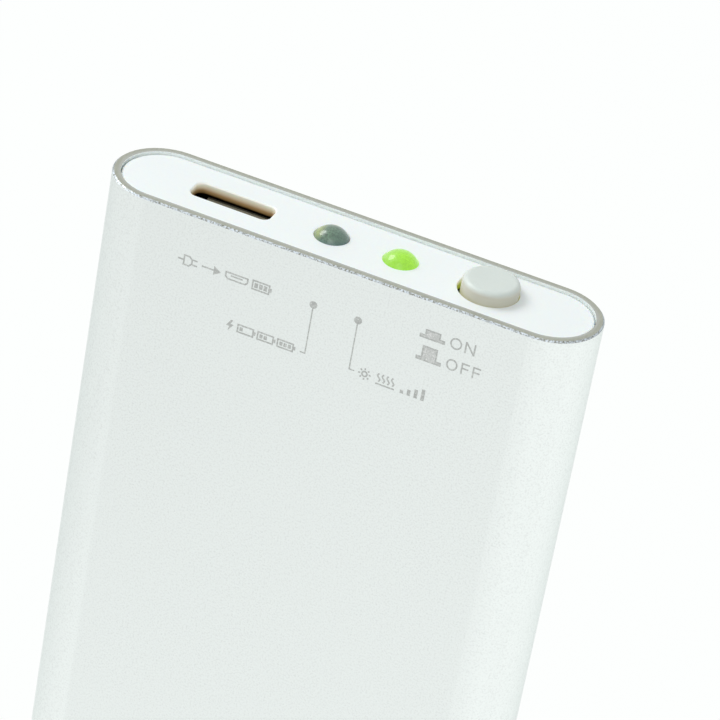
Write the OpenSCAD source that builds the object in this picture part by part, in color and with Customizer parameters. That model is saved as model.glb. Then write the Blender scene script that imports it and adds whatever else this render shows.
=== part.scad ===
// Rechargeable hand warmer: a slim extruded aluminium sleeve with inset end caps.
// The charging port, two indicator lights and a latching push button sit in the top cap.
// Millimetres. X runs across the width, Y through the thickness with the printed face at -Y,
// and Z up the length. The origin is the centre of the rim that the sleeve stands on.
// At rest the button is latched down, which is its "on" position.

/* [Sleeve] */
// Width across the two rounded sides
body_w = 44; // [43.4:0.2:54]
// Thickness between the two flat faces
body_t = 9.2; // [9:0.1:12]
// Length of the sleeve
body_l = 95; // [94:0.5:125]
// Wall of the extrusion
wall = 0.7; // [0.6:0.05:0.9]
// Chamfer on the cut outer edge at both ends
rim_chamfer = 0.15; // [0.05:0.05:0.3]

/* [End caps] */
// How far each cap's face lies inside the rim
cap_recess = 0.2; // [0.1:0.05:0.5]
// Thickness of a cap's face plate
cap_plate = 1; // [0.8:0.05:1.3]
// Play between a cap and the sleeve, on each side
cap_play = 0.1; // [0.05:0.01:0.15]
// Chamfer round a cap's face
cap_chamfer = 0.15; // [0.05:0.05:0.3]
// Depth of the skirt behind the plate
skirt_depth = 3; // [2.8:0.1:3.6]
// Wall of the skirt
skirt_wall = 0.7; // [0.5:0.05:0.8]
// Width of the snap window at each end of a skirt
snap_w = 2.4; // [2:0.1:3]
// Height of the snap window
snap_h = 1.2; // [1:0.1:1.6]

/* [Charging port] */
// Distance from the sleeve's side to the middle of the connector
port_inset = 11; // [10.2:0.1:11.6]
// How far the slot lies off the connector's centre, towards the side
port_shift = 0.2; // [0:0.05:0.3]
// Length of the slot in the cap
port_w = 7.3; // [7.2:0.1:8.2]
// Height of the slot in the cap
port_h = 2.4; // [2.3:0.1:3]
// Corner radius of the slot
port_corner = 0.7; // [0.5:0.05:1.1]
// Chamfer round the mouth of the slot
port_chamfer = 0.1; // [0.05:0.05:0.3]
// Width of the connector's metal shell on its wide side
usb_w = 7.3; // [7:0.1:7.5]
// Height of the connector's shell
usb_h = 2.4; // [2.2:0.1:2.6]
// How much narrower the shell's board side is, at each end
usb_taper = 0.65; // [0.6:0.05:1.1]
// Depth of the shell
usb_depth = 5.2; // [5:0.1:5.6]
// Thickness of the shell's sheet metal
usb_metal = 0.25; // [0.2:0.01:0.3]
// Gap between the cap's plate and the shell's mouth
usb_setback = 0.25; // [0.1:0.05:0.4]
// Length of the flared lips at the mouth
lip_l = 0.5; // [0.4:0.05:0.6]
// How far the lips flare out
lip_out = 0.1; // [0.05:0.05:0.2]
// Width of the tongue that carries the contacts
tongue_w = 3.8; // [3.6:0.1:4.2]
// Thickness of the tongue
tongue_t = 0.6; // [0.5:0.05:0.7]
// Pitch of the five contacts
contact_pitch = 0.65; // [0.6:0.01:0.7]
// Width of one contact
contact_w = 0.3; // [0.2:0.02:0.4]

/* [Indicator lights] */
// Diameter of a light's lens
led_d = 3; // [2.8:0.05:3.1]
// Centre of the charging light across the width
led_x = -2.15; // [-2.3:0.05:-1.6]
// Distance from the charging light to the warming light
led_pitch = 6.25; // [5.5:0.05:6.6]
// Depth of the dome's lower edge below the cap's face
led_sink = 0.05; // [0:0.01:0.2]
// Height of the dome over the straight part of a lens
led_dome_h = 0.9; // [0.6:0.05:1.2]
// Straight length of a lens below its dome
led_body = 3.65; // [3.45:0.05:3.85]
// How far the flange stands out round a lens
led_rim = 0.2; // [0.15:0.05:0.3]
// Height of the flange
led_flange_h = 0.9; // [0.8:0.05:1]
// Play of a lens in its hole, on each side
led_play = 0.05; // [0.03:0.01:0.1]
// Thickness of the square leads
lead_t = 0.45; // [0.4:0.05:0.5]
// Distance between a light's two leads
lead_pitch = 2.54; // [2.3:0.02:2.7]

/* [Button and switch] */
// Distance from the sleeve's other side to the middle of the button
button_inset = 9.95; // [9.4:0.05:10.2]
// Diameter of the button
button_d = 4.9; // [4.4:0.05:5]
// How far the latched button stands out of the cap
button_show = 1.15; // [0.9:0.05:1.4]
// Rounding at the rim of the button's face
button_round = 0.5; // [0.1:0.05:0.6]
// How far the button and its hole sit behind the middle
button_back = 0.2; // [0:0.05:0.3]
// Play of the button in its hole, on each side
button_play = 0.2; // [0.2:0.01:0.25]
// How far the hole lies off the button's centre, towards the lights
hole_offset = 0.13; // [0:0.01:0.15]
// How far the flange that keeps the button in stands out round it
flange_rim = 0.5; // [0.45:0.01:0.5]
// Thickness of the flange
flange_h = 0.5; // [0.4:0.05:0.6]
// Travel from latched on, up to off
button_travel = 1.5; // [1.2:0.05:1.6]
// Further travel below the latched position, which frees the latch
button_press = 0.5; // [0.4:0.05:0.6]
// Gap left at each end of the travel
stop_gap = 0.1; // [0.08:0.01:0.15]
// Width and depth of the switch body
switch_w = 5.8; // [5.6:0.05:6]
// Length of the switch body
switch_l = 7.4; // [7.2:0.1:7.8]
// Side wall of the switch body
switch_wall = 0.7; // [0.65:0.01:0.75]
// Top and bottom wall of the switch body
switch_end = 0.8; // [0.7:0.05:0.9]
// Width of the square stem
stem_w = 2; // [1.8:0.05:2.2]
// How deep the stem sits in the button
stem_grip = 2.6; // [2.4:0.1:3]
// Play of the slider in the switch body, on each side
slider_play = 0.25; // [0.22:0.01:0.3]
// Wire of the return spring
spring_wire = 0.25; // [0.2:0.01:0.3]
// Outer diameter of the return spring
spring_d = 2; // [1.8:0.05:2.1]
// Turns of the return spring
spring_turns = 3; // [2:1:3]
// Depth of the spring's seat inside the slider
seat_depth = 2; // [1.8:0.05:2.1]
// Wire of the latch pin
latch_wire = 0.35; // [0.3:0.01:0.4]
// Pitch of the switch's legs
leg_pitch = 2; // [1.8:0.05:2.1]

/* [Circuit board] */
// Length of the board
board_l = 20; // [19.4:0.1:21]
// Thickness of the board
board_t = 1; // [0.8:0.05:1.1]
// How far the board's edge lies behind the port's mouth
board_setback = 1; // [0.9:0.05:1.2]
// Diameter of the two board screws
screw_d = 1.6; // [1.4:0.05:1.8]
// Diameter of the screw heads
screw_head_d = 3; // [2.6:0.1:3.2]
// Height of the screw heads
screw_head_h = 0.9; // [0.7:0.05:1.1]
// Height of the screws above the board's lower edge
screw_rise = 2.4; // [2.2:0.1:3]
// Distance of the screws from the board's sides
screw_inset = 2.6; // [2.2:0.1:2.8]
// Gap between a screw's tip and the back of the shelf that it holds in
screw_tip = 0.1; // [0.1:0.05:0.4]

/* [Battery] */
// Thickness of the pouch cell
cell_t = 5.6; // [5:0.1:5.8]
// Rounding along the cell's sides
cell_round = 1.6; // [1:0.1:2.4]
// Height of the folded seal above the cell
seal_h = 2.5; // [2.2:0.1:2.7]
// Thickness of the seal
seal_t = 0.4; // [0.3:0.05:0.5]
// Height of the protection board
guard_h = 3.2; // [2.8:0.1:3.4]
// Thickness of the protection board
guard_t = 0.8; // [0.6:0.05:0.9]
// Width of one battery tab
tab_w = 3; // [2.5:0.1:3.5]
// Thickness of a battery tab
tab_t = 0.15; // [0.1:0.01:0.2]
// How far a tab laps over the protection board and the cell's seal
tab_lap = 1.3; // [1:0.1:1.5]
// Room for the wires between the protection board and the frame
wiring_gap = 2.1; // [1.9:0.1:3]

/* [Heaters] */
// Gap from a heater film's side to where the sleeve's wall starts to curve
heater_side = 1.9; // [1:0.1:2.5]
// How far a heater film ends inside the cell's ends
heater_margin = 1; // [0.5:0.1:2]
// Thickness of a heater film
film_t = 0.12; // [0.1:0.01:0.15]
// Thickness of the etched heating track
track_t = 0.08; // [0.05:0.01:0.1]
// Width of the heating track
track_w = 1; // [0.8:0.05:1.2]
// Pitch of the track's runs
track_pitch = 2.2; // [2:0.05:2.4]
// Width of the tail that carries the solder pads
tail_w = 6; // [5.6:0.1:7]
// Height of the tail
tail_h = 4; // [3.6:0.1:4.2]

/* [Inner frame] */
// Play between the frame and the sleeve, on each side
frame_play = 0.1; // [0.05:0.01:0.15]
// Width of a side rail
rail_w = 3.8; // [3.5:0.05:4]
// Gap beside the board and the cell
side_gap = 0.3; // [0.2:0.05:0.4]
// Height of the bar under the cell
bar_h = 1.6; // [1.2:0.1:1.8]
// Height of the bar between cell and board
bridge_h = 1.4; // [1.2:0.1:1.6]
// Gap between the shelf behind the board and the sleeve
shelf_gap = 0.3; // [0.2:0.05:0.5]
// Length of one pocket in a side rail
pocket_l = 9; // [8:0.5:10]
// Rib between two pockets
pocket_rib = 2; // [1.5:0.1:3]
// Depth of a pocket
pocket_d = 2.2; // [1.8:0.1:2.4]

/* [Wiring] */
// Diameter of a battery lead
battery_lead_d = 1; // [0.8:0.05:1.1]
// Diameter of a heater lead
heater_lead_d = 0.8; // [0.6:0.05:0.9]
// Diameter of a thermistor lead
fine_lead_d = 0.3; // [0.25:0.01:0.35]
// Diameter of the thermistor's bead
bead_d = 1.2; // [1:0.05:1.4]
// Length of the bead
bead_l = 2.4; // [2.2:0.1:2.6]
// How far the wires run down over their solder pads
wire_lap = 2; // [1.6:0.1:2.2]

/* [Hidden] */
$fn = 64;

// Overshoot of every cut, so that no cut face lies in the face it opens
cut = 1;
// How far the joined shapes of one piece run into each other
join = 0.5;
// Gap left between parts that only stand next to each other
near = 0.2;
// Play of a screw in its hole, on each side
screw_play = 0.02;

// The cavity inside the sleeve
cavity_w = body_w - 2 * wall;
cavity_t = body_t - 2 * wall;

// Heights of the two caps
top_face_z = body_l - cap_recess;
top_under_z = top_face_z - cap_plate;
top_skirt_z = top_under_z - skirt_depth;
low_face_z = cap_recess;
low_under_z = low_face_z + cap_plate;
low_skirt_z = low_under_z + skirt_depth;
cap_w = cavity_w - 2 * cap_play;
cap_t = cavity_t - 2 * cap_play;

// The frame: rails in the rounded sides, with a neck at each end inside a cap's skirt
rail_x = cavity_w / 2 - frame_play - rail_w;
board_w = 2 * (rail_x - side_gap);
cell_w = board_w;
rail_top_z = top_skirt_z - near;
rail_low_z = low_skirt_z + near;
neck_play = 0.1;
neck_w = cap_w - 2 * skirt_wall - 2 * neck_play;
neck_t = cap_t - 2 * skirt_wall - 2 * neck_play;
snap_play = 0.2;
snap_bite = 0.25;
snap_top_z = top_under_z - skirt_depth / 2;
snap_low_z = low_under_z + skirt_depth / 2;

// The connector stands on the board, so the board's front face follows from its height
port_x = port_inset - body_w / 2;
usb_mouth_z = top_under_z - usb_setback;
usb_low_z = usb_mouth_z - usb_depth;
tongue_short = 0.9;
contact_short = tongue_short + 0.3;
usb_back_l = 1.5;
usb_shoulder = 0.9;
board_y = usb_h / 2;
board_back_y = board_y + board_t;
board_top_z = usb_mouth_z - board_setback;
board_low_z = board_top_z - board_l;
port_tab_x = port_x + usb_w / 2 + 1.5;
screw_x = board_w / 2 - screw_inset;

// The lights
led_flange_d = led_d + 2 * led_rim;
led_edge_z = top_face_z - led_sink;
led_dome_r = (led_d * led_d / 4 + led_dome_h * led_dome_h) / (2 * led_dome_h);
led_base_z = led_edge_z - led_body - led_flange_h;
board_step_z = led_base_z - 0.6;
lead_bend_z = board_step_z - 0.6;
lead_end_l = 2.6;

// The button and the switch, at rest with the button latched on
button_x = body_w / 2 - button_inset;
button_top_z = top_face_z + button_show;
flange_d = button_d + 2 * flange_rim;
flange_top_z = top_under_z - button_travel - stop_gap;
button_low_z = flange_top_z - flange_h;
button_l = button_top_z - button_low_z;
switch_top_z = button_low_z - button_press - near;
switch_low_z = switch_top_z - switch_l;
chamber_w = switch_w - 2 * switch_wall;
chamber_top_z = switch_top_z - switch_end;
chamber_low_z = switch_low_z + switch_end;
slider_w = chamber_w - 2 * slider_play;
slider_top_z = chamber_top_z - button_travel - stop_gap;
slider_low_z = chamber_low_z + button_press + stop_gap;
slider_h = slider_top_z - slider_low_z;
seat_z = slider_low_z + seat_depth;
seat_d = spring_d + 0.3;
bridge_t = 0.15;
bridge_l = 2.2;
bridge_w = 0.8;
latch_z = slider_low_z + 2.4;
latch_y = -(chamber_w / 2 + latch_wire / 2);
latch_depth = 0.45;
latch_room = 0.1;
latch_slot_w = latch_wire + 0.3;
latch_low_l = 2;
notch_x = button_x;
notch_w = switch_w + 0.4;
notch_low_z = switch_low_z - near;
leg_t = 0.2;
leg_w = 0.5;
leg_reach = 1;

// The bar between cell and board hangs from the shelf behind the board
bridge_gap = 0.8;
shelf_rise = 4;
bridge_low_z = board_low_z - bridge_gap - bridge_h;
shelf_back_y = cavity_t / 2 - shelf_gap;
screw_l = shelf_back_y - board_y - screw_tip;

// The cell fills the space below the bridge, less the protection board and room for the wires
end_gap = 0.3;
bar_top_z = rail_low_z + bar_h;
cell_low_z = bar_top_z + end_gap;
guard_top_z = bridge_low_z - wiring_gap;
guard_low_z = guard_top_z - guard_h;
cell_top_z = guard_low_z - end_gap - seal_h;
cell_l = cell_top_z - cell_low_z;
seal_inset = 2.5;
guard_inset = 1;
tab_inset = 5;
seal_w = cell_w - 2 * seal_inset;
guard_w = seal_w - 2 * guard_inset;
tab_x = guard_w / 2 - tab_inset;
red_lead_x = 3 - tab_x;
black_lead_x = red_lead_x + 2 * battery_lead_d;

// The heaters lie on the sleeve's inner faces, and foam fills what is left beside the cell
heater_w = cavity_w - cavity_t - 2 * heater_side;
heater_low_z = cell_low_z + heater_margin;
heater_top_z = cell_top_z - heater_margin;
heater_l = heater_top_z - heater_low_z;
heater_t = film_t + track_t;
tail_x = 4;
track_edge = 1;
track_runs = 2 * floor((heater_w - 2 * track_edge - track_w + track_pitch) / track_pitch / 2);
foam_w = heater_w - 1;
foam_edge = 0.5;
foam_t = cavity_t / 2 - heater_t - cell_t / 2;

// The solder pads for the wires, in one row above the board's lower edge
pad_low = 0.6;
pad_rise = pad_low + wire_lap;
pad_gap = 0.05;
wire_rings = 10;
wire_shift = 1.5;
wire_dip = 0.6;
bead_x = 9;
bend_clear = 0.8;

// Centres of the parts on the board, across the width and above its lower edge
led_row = lead_bend_z - lead_end_l - board_low_z - 1.4;
port_row = usb_low_z - board_low_z;
notch_row = notch_low_z - board_low_z;
edge_x = board_w / 2 - 2.4;
charge_chip_at = [-9.3, 7.6];
control_chip_at = [-1.9, 6.4];
inductor_at = [6.4, 6.2];
transistors_at = [[-6, 12.4], [11.1, notch_row - 4.5]];
capacitors_at = [
  [-edge_x, port_row - 3.3], [-edge_x, port_row - 1.3], [2.2, led_row], [4.6, led_row],
  [11.1, notch_row - 1.5]
];
resistors_at = [
  [-8.2, 11.4], [-8.4, 3.6], [-7, 3.6], [0, led_row], [-1.8, led_row], [-1.2, 1.8], [0.6, 1.8],
  [board_w / 2 - 1.2, notch_row - 1.8]
];
chip_body = [3.9, 1.5, 4.9];
chip_leg_pitch = 1.27;
chip_leg = [0.4, 0.2, 1];
chip_lift = 0.1;
inductor_size = [4.2, 2, 4.2];
transistor_size = [2.9, 1, 1.4];
capacitor_size = [2, 1.2, 1.25];
resistor_size = [0.8, 0.45, 1.6];

// Shared outlines

// A rectangle with round corners, centred on the origin. Corners of half the height make its ends round.
module round_slab(w, h, r) {
  for (sx = [-1, 1], sy = (h > 2 * r ? [-1, 1] : [0]))
    translate([sx * (w / 2 - r), sy * (h / 2 - r)]) circle(r);
  square([w - 2 * r, h], center = true);
  if (h > 2 * r)
    square([w, h - 2 * r], center = true);
}

// The sleeve's outline, with two flat faces and two half-round sides
module pill(w, t) {
  round_slab(w, t, t / 2);
}

// A solid that widens by grow on every side from its foot to its top
module flared_slab(w, h, r, rise, grow) {
  for (sx = [-1, 1], sy = (h > 2 * r ? [-1, 1] : [0]))
    translate([sx * (w / 2 - r), sy * (h / 2 - r), 0])
      cylinder(h = rise, r1 = r, r2 = r + grow);
  rotate([90, 0, 90])
    linear_extrude(height = w - 2 * r, center = true)
      polygon([[-h / 2, 0], [h / 2, 0], [h / 2 + grow, rise], [-h / 2 - grow, rise]]);
  if (h > 2 * r)
    rotate([90, 0, 0])
      linear_extrude(height = h - 2 * r, center = true)
        polygon([[-w / 2, 0], [w / 2, 0], [w / 2 + grow, rise], [-w / 2 - grow, rise]]);
}

// A pill-shaped block with a chamfer at its foot
module chamfered_pill(w, t, l, chamfer) {
  flared_slab(w - 2 * chamfer, t - 2 * chamfer, t / 2 - chamfer, chamfer, chamfer);
  translate([0, 0, chamfer])
    linear_extrude(height = l - chamfer) pill(w, t);
}

// A block given by its middle across the width, its lowest y and z, and its size
module block(x, y, z, size) {
  translate([x - size[0] / 2, y, z]) cube(size);
}

// A tube swept along points. The flat of its first side faces the direction called side.
function unit(v) = v / norm(v);
function along(p, i) = unit(p[min(i + 1, len(p) - 1)] - p[max(i - 1, 0)]);
function ring(p, i, r, n, side) =
  let (t = along(p, i), u = unit(side - (side * t) * t), v = cross(t, u))
    [for (k = [0:n - 1]) p[i] + r * (cos(360 * k / n) * u + sin(360 * k / n) * v)];

module tube(p, d, n, side) {
  last = len(p) - 1;
  points = [for (i = [0:last]) each ring(p, i, d / 2, n, side)];
  walls = [for (i = [0:last - 1], k = [0:n - 1])
    let (a = i * n + k, b = i * n + (k + 1) % n) each [[a, a + n, b], [b, a + n, b + n]]];
  foot = [for (k = [1:n - 2]) [0, k, k + 1]];
  top = [for (k = [1:n - 2]) [last * n, last * n + k + 1, last * n + k]];
  polyhedron(points = points, faces = concat(walls, foot, top), convexity = 4);
}

// The route of a wire that rises from a to b with one bend each way, then runs straight up
function ease(t) = t * t * (3 - 2 * t);
function wire_route(a, b, straight) = concat(
  [a - [0, 0, wire_dip]],
  [for (i = [0:wire_rings]) let (t = i / wire_rings)
    [a[0] + (b[0] - a[0]) * ease(t), a[1] + (b[1] - a[1]) * ease(t), a[2] + (b[2] - a[2]) * t]],
  [b + [0, 0, straight]]);

// The casing

module sleeve() {
  color("gainsboro")
    difference() {
      union() {
        chamfered_pill(body_w, body_t, body_l / 2, rim_chamfer);
        translate([0, 0, body_l]) mirror([0, 0, 1])
          chamfered_pill(body_w, body_t, body_l / 2, rim_chamfer);
      }
      translate([0, 0, -cut])
        linear_extrude(height = body_l + 2 * cut) pill(cavity_w, cavity_t);
    }
}

// A cap with its face at z = 0 and its skirt rising from the plate, with the two snap windows
module cap_blank() {
  difference() {
    chamfered_pill(cap_w, cap_t, cap_plate + skirt_depth, cap_chamfer);
    translate([0, 0, cap_plate])
      linear_extrude(height = skirt_depth + cut)
        pill(cap_w - 2 * skirt_wall, cap_t - 2 * skirt_wall);
    for (s = [-1, 1])
      translate([s * (cap_w / 2 - skirt_wall / 2), 0, cap_plate + skirt_depth / 2])
        cube([2 * skirt_wall, snap_w, snap_h], center = true);
  }
}

module port_slot() {
  translate([port_x - port_shift, 0, top_under_z - cut])
    linear_extrude(height = cap_plate + 2 * cut) round_slab(port_w, port_h, port_corner);
  translate([port_x - port_shift, 0, top_face_z - port_chamfer])
    flared_slab(port_w, port_h, port_corner, 2 * port_chamfer, 2 * port_chamfer);
}

module top_cap() {
  color("white")
    difference() {
      translate([0, 0, top_face_z]) mirror([0, 0, 1]) cap_blank();
      port_slot();
      for (x = [led_x, led_x + led_pitch])
        translate([x, 0, top_under_z - cut])
          cylinder(h = cap_plate + 2 * cut, d = led_d + 2 * led_play);
      translate([button_x - hole_offset, button_back, top_under_z - cut])
        cylinder(h = cap_plate + 2 * cut, d = button_d + 2 * button_play);
      block(button_x, -cap_t, top_skirt_z - cut, [notch_w, 2 * cap_t, skirt_depth + cut]);
    }
}

module bottom_cap() {
  color("white")
    translate([0, 0, low_face_z]) cap_blank();
}

// The inner frame

module rail_neck(low, top, snap_z) {
  translate([0, 0, low])
    linear_extrude(height = top - low)
      intersection() {
        pill(neck_w, neck_t);
        translate([rail_x, -neck_t]) square([neck_w, 2 * neck_t]);
      }
  translate([neck_w / 2 - 1, -snap_w / 2 + snap_play, snap_z - snap_h / 2 + snap_play])
    cube([1 + neck_play + snap_bite, snap_w - 2 * snap_play, snap_h - 2 * snap_play]);
}

module side_rail() {
  pockets = floor((bridge_low_z - bar_top_z) / (pocket_l + pocket_rib));
  difference() {
    translate([0, 0, rail_low_z])
      linear_extrude(height = rail_top_z - rail_low_z)
        intersection() {
          pill(cavity_w - 2 * frame_play, cavity_t - 2 * frame_play);
          translate([rail_x, -cavity_t]) square([cavity_w, 2 * cavity_t]);
        }
    for (i = [0:pockets - 1])
      translate([rail_x - cut, -cavity_t / 2 + 1.6, bar_top_z + pocket_rib + i * (pocket_l + pocket_rib)])
        cube([pocket_d + cut, cavity_t - 3.2, pocket_l]);
  }
  rail_neck(low_under_z + near, rail_low_z + join, snap_low_z);
  rail_neck(rail_top_z - join, top_under_z - near, snap_top_z);
}

module board_shelf() {
  difference() {
    block(0, board_back_y, bridge_low_z,
      [2 * (rail_x + join), shelf_back_y - board_back_y, notch_low_z + shelf_rise - bridge_low_z]);
    block(notch_x, board_back_y - cut, notch_low_z, [notch_w, shelf_back_y + 2 * cut, switch_l + cut]);
    for (s = [-1, 1])
      translate([s * screw_x, board_back_y - cut, board_low_z + screw_rise])
        rotate([-90, 0, 0]) cylinder(h = board_t + 3 * cut, r = screw_d / 2 + screw_play);
  }
  block(0, board_y, bridge_low_z, [2 * (rail_x + join), board_t + join, bridge_h]);
}

module inner_frame() {
  color("dimgray") {
    side_rail();
    mirror([1, 0, 0]) side_rail();
    block(0, -cell_t / 2, rail_low_z, [2 * (rail_x + join), cell_t, bar_h]);
    board_shelf();
  }
}

// The button and its switch

module power_button() {
  bore_z = button_low_z + stem_grip + near;
  color("silver")
    difference() {
      translate([button_x, button_back, 0])
        rotate_extrude() {
          translate([0, button_low_z]) square([flange_d / 2, flange_top_z - button_low_z]);
          translate([0, button_low_z]) square([button_d / 2, button_l - button_round]);
          translate([0, button_low_z]) square([button_d / 2 - button_round, button_l]);
          translate([button_d / 2 - button_round, button_top_z - button_round]) circle(button_round);
        }
      block(button_x, -stem_w / 2, button_low_z - cut, [stem_w, stem_w, bore_z - button_low_z + cut]);
    }
}

module switch_stem() {
  color("ivory")
    difference() {
      union() {
        block(button_x, -slider_w / 2, slider_low_z, [slider_w, slider_w, slider_h]);
        block(button_x, -stem_w / 2, slider_top_z - cut,
          [stem_w, stem_w, button_low_z + stem_grip - slider_top_z + cut]);
      }
      translate([button_x, 0, slider_low_z - cut]) cylinder(h = seat_depth + cut, d = seat_d);
      block(button_x, -slider_w / 2 - cut, latch_z - latch_wire / 2 - button_travel - latch_room,
        [latch_slot_w, latch_depth + cut, latch_wire + button_travel + button_press + 2 * latch_room]);
    }
}

module contact_bridges() {
  color("gold")
    for (s = [-1, 1])
      block(button_x + s * (slider_w / 2 + bridge_t / 2), -bridge_w / 2,
        slider_low_z + (slider_h - bridge_l) / 2, [bridge_t, bridge_w, bridge_l]);
}

// One leg runs through the side wall of the switch and lies on the board beside the notch
module switch_leg(s, i) {
  length = switch_wall + leg_reach;
  block(button_x + s * (chamber_w / 2 + length / 2), board_y - leg_t,
    switch_low_z + switch_l / 2 + (i - 1) * leg_pitch - leg_w / 2, [length, leg_t, leg_w]);
}

module switch_legs() {
  color("silver")
    for (s = [-1, 1], i = [0:2]) switch_leg(s, i);
}

module switch_housing() {
  mouth_w = stem_w + 0.3;
  channel_t = latch_wire + latch_room;
  color("royalblue")
    difference() {
      block(button_x, -switch_w / 2, switch_low_z, [switch_w, switch_w, switch_l]);
      block(button_x, -chamber_w / 2, chamber_low_z, [chamber_w, chamber_w, chamber_top_z - chamber_low_z]);
      block(button_x, -mouth_w / 2, chamber_top_z - cut, [mouth_w, mouth_w, switch_end + 2 * cut]);
      block(button_x, -chamber_w / 2 - channel_t, latch_z - latch_low_l - latch_wire,
        [latch_slot_w, channel_t + cut / 2, latch_low_l + 2 * latch_wire]);
      for (s = [-1, 1], i = [0:2]) switch_leg(s, i);
    }
}

// A bent wire: it lies in a channel of the switch body, and its tip runs in the slider's groove
module latch_pin() {
  color("silver")
    translate([button_x, latch_y, 0]) {
      translate([0, 0, latch_z - latch_low_l]) cylinder(h = latch_low_l, d = latch_wire);
      translate([0, -latch_wire / 2, latch_z]) rotate([-90, 0, 0])
        cylinder(h = -latch_y + latch_wire / 2 - slider_w / 2 + latch_depth - latch_room, d = latch_wire);
    }
}

module switch_spring() {
  coil_r = (spring_d - spring_wire) / 2;
  rise = seat_z - chamber_low_z - spring_wire;
  steps = 16 * spring_turns;
  path = [for (i = [0:steps]) let (a = 360 * spring_turns * i / steps)
    [coil_r * cos(a), coil_r * sin(a), spring_wire / 2 + rise * i / steps]];
  color("silver")
    translate([button_x, 0, chamber_low_z]) tube(path, spring_wire, 6, [0, 0, 1]);
}

// The charging connector, with its narrow side on the board

function shell_outline(inset) = [
  [-usb_w / 2 + inset, -usb_h / 2 + inset], [usb_w / 2 - inset, -usb_h / 2 + inset],
  [usb_w / 2 - inset, usb_h / 2 - usb_shoulder], [usb_w / 2 - usb_taper - inset / 2, usb_h / 2 - inset],
  [-usb_w / 2 + usb_taper + inset / 2, usb_h / 2 - inset], [-usb_w / 2 + inset, usb_h / 2 - usb_shoulder]
];

module flared_lip(w) {
  rotate([90, 0, 90])
    linear_extrude(height = w, center = true)
      polygon([
        [usb_h / 2 - usb_metal, -lip_l], [usb_h / 2, -lip_l],
        [usb_h / 2 + lip_out, 0], [usb_h / 2 + lip_out - usb_metal, 0]
      ]);
}

module usb_shell() {
  lip_w = usb_w - 2 * usb_taper - usb_metal;
  color("darkgray")
    translate([port_x, 0, usb_mouth_z]) {
      translate([0, 0, -usb_depth])
        linear_extrude(height = usb_depth - lip_l)
          difference() {
            polygon(shell_outline(0));
            polygon(shell_outline(usb_metal));
          }
      flared_lip(lip_w);
      mirror([0, 1, 0]) flared_lip(usb_w - 2 * usb_metal);
      for (s = [-1, 1]) {
        block(s * (usb_w - usb_metal) / 2, -usb_h / 2 + usb_metal, -lip_l,
          [usb_metal, usb_h / 2, lip_l / 2]);
        for (z = [-1.9, -4.1])
          block(s * (usb_w / 2 + 0.35), -usb_metal, z, [0.7, board_y + usb_metal, 0.8]);
      }
    }
}

module usb_insulator() {
  color("black")
    difference() {
      union() {
        translate([port_x, 0, usb_low_z])
          linear_extrude(height = usb_back_l) polygon(shell_outline(usb_metal));
        block(port_x, -tongue_t / 2, usb_low_z + usb_back_l - cut,
          [tongue_w, tongue_t, usb_depth - usb_back_l - tongue_short + cut]);
      }
      for (i = [-2:2]) usb_contact(i);
    }
}

module usb_contact(i) {
  contact_t = 0.12;
  foot_h = 0.6;
  x = port_x + i * contact_pitch;
  y = tongue_t / 2 - contact_t;
  block(x, y, usb_low_z - near, [contact_w, contact_t, usb_depth - contact_short + near]);
  block(x, y, usb_low_z - near - foot_h, [contact_w, board_y - y, foot_h]);
}

module usb_contacts() {
  color("gold")
    for (i = [-2:2]) usb_contact(i);
}

// The indicator lights

module led_lens(x) {
  translate([x, 0, 0]) {
    translate([0, 0, led_edge_z]) intersection() {
      translate([0, 0, led_dome_h - led_dome_r]) sphere(r = led_dome_r);
      translate([-led_d, -led_d, 0]) cube([2 * led_d, 2 * led_d, led_d]);
    }
    translate([0, 0, led_edge_z - led_body]) cylinder(h = led_body, d = led_d);
    translate([0, 0, led_base_z]) cylinder(h = led_flange_h, d = led_flange_d);
  }
}

module led_leads(x) {
  for (s = [-1, 1]) {
    lead_x = x + s * lead_pitch / 2;
    block(lead_x, -lead_t / 2, lead_bend_z, [lead_t, lead_t, led_base_z - lead_bend_z]);
    block(lead_x, -lead_t / 2, lead_bend_z - lead_t, [lead_t, board_y + lead_t / 2, lead_t]);
    block(lead_x, board_y - lead_t, lead_bend_z - lead_end_l, [lead_t, lead_t, lead_end_l]);
  }
}

module charging_led() {
  color("darkseagreen") led_lens(led_x);
}

module charging_led_leads() {
  color("silver") led_leads(led_x);
}

module warming_led() {
  color("greenyellow") led_lens(led_x + led_pitch);
}

module warming_led_leads() {
  color("silver") led_leads(led_x + led_pitch);
}

// The circuit board and what is on it

module board_outline() {
  difference() {
    translate([-board_w / 2, board_low_z]) square([board_w, board_l]);
    translate([port_tab_x, board_step_z]) square([board_w, board_l]);
    translate([notch_x - notch_w / 2, notch_low_z]) square([notch_w, board_l]);
    for (s = [-1, 1])
      translate([s * screw_x, board_low_z + screw_rise]) circle(d = screw_d + 0.2);
  }
}

module circuit_board() {
  color("seagreen")
    translate([0, board_back_y, 0]) rotate([90, 0, 0])
      linear_extrude(height = board_t) board_outline();
}

module board_screws() {
  color("silver")
    for (s = [-1, 1])
      translate([s * screw_x, board_y, board_low_z + screw_rise]) {
        rotate([-90, 0, 0]) cylinder(h = screw_l, d = screw_d);
        difference() {
          rotate([90, 0, 0]) cylinder(h = screw_head_h, d = screw_head_d);
          for (a = [0, 90])
            rotate([0, a, 0]) translate([0, -screw_head_h, 0])
              cube([1.6, screw_head_h, 0.35], center = true);
        }
      }
}

// A part that stands on the board's front face, given by its centre and its size
module on_board(at, size, lift = 0) {
  block(at[0], board_y - size[1] - lift, board_low_z + at[1] - size[2] / 2, size);
}

module charge_chip() {
  color("black") on_board(charge_chip_at, chip_body, chip_lift);
}

module control_chip() {
  color("black") on_board(control_chip_at, chip_body, chip_lift);
}

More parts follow.
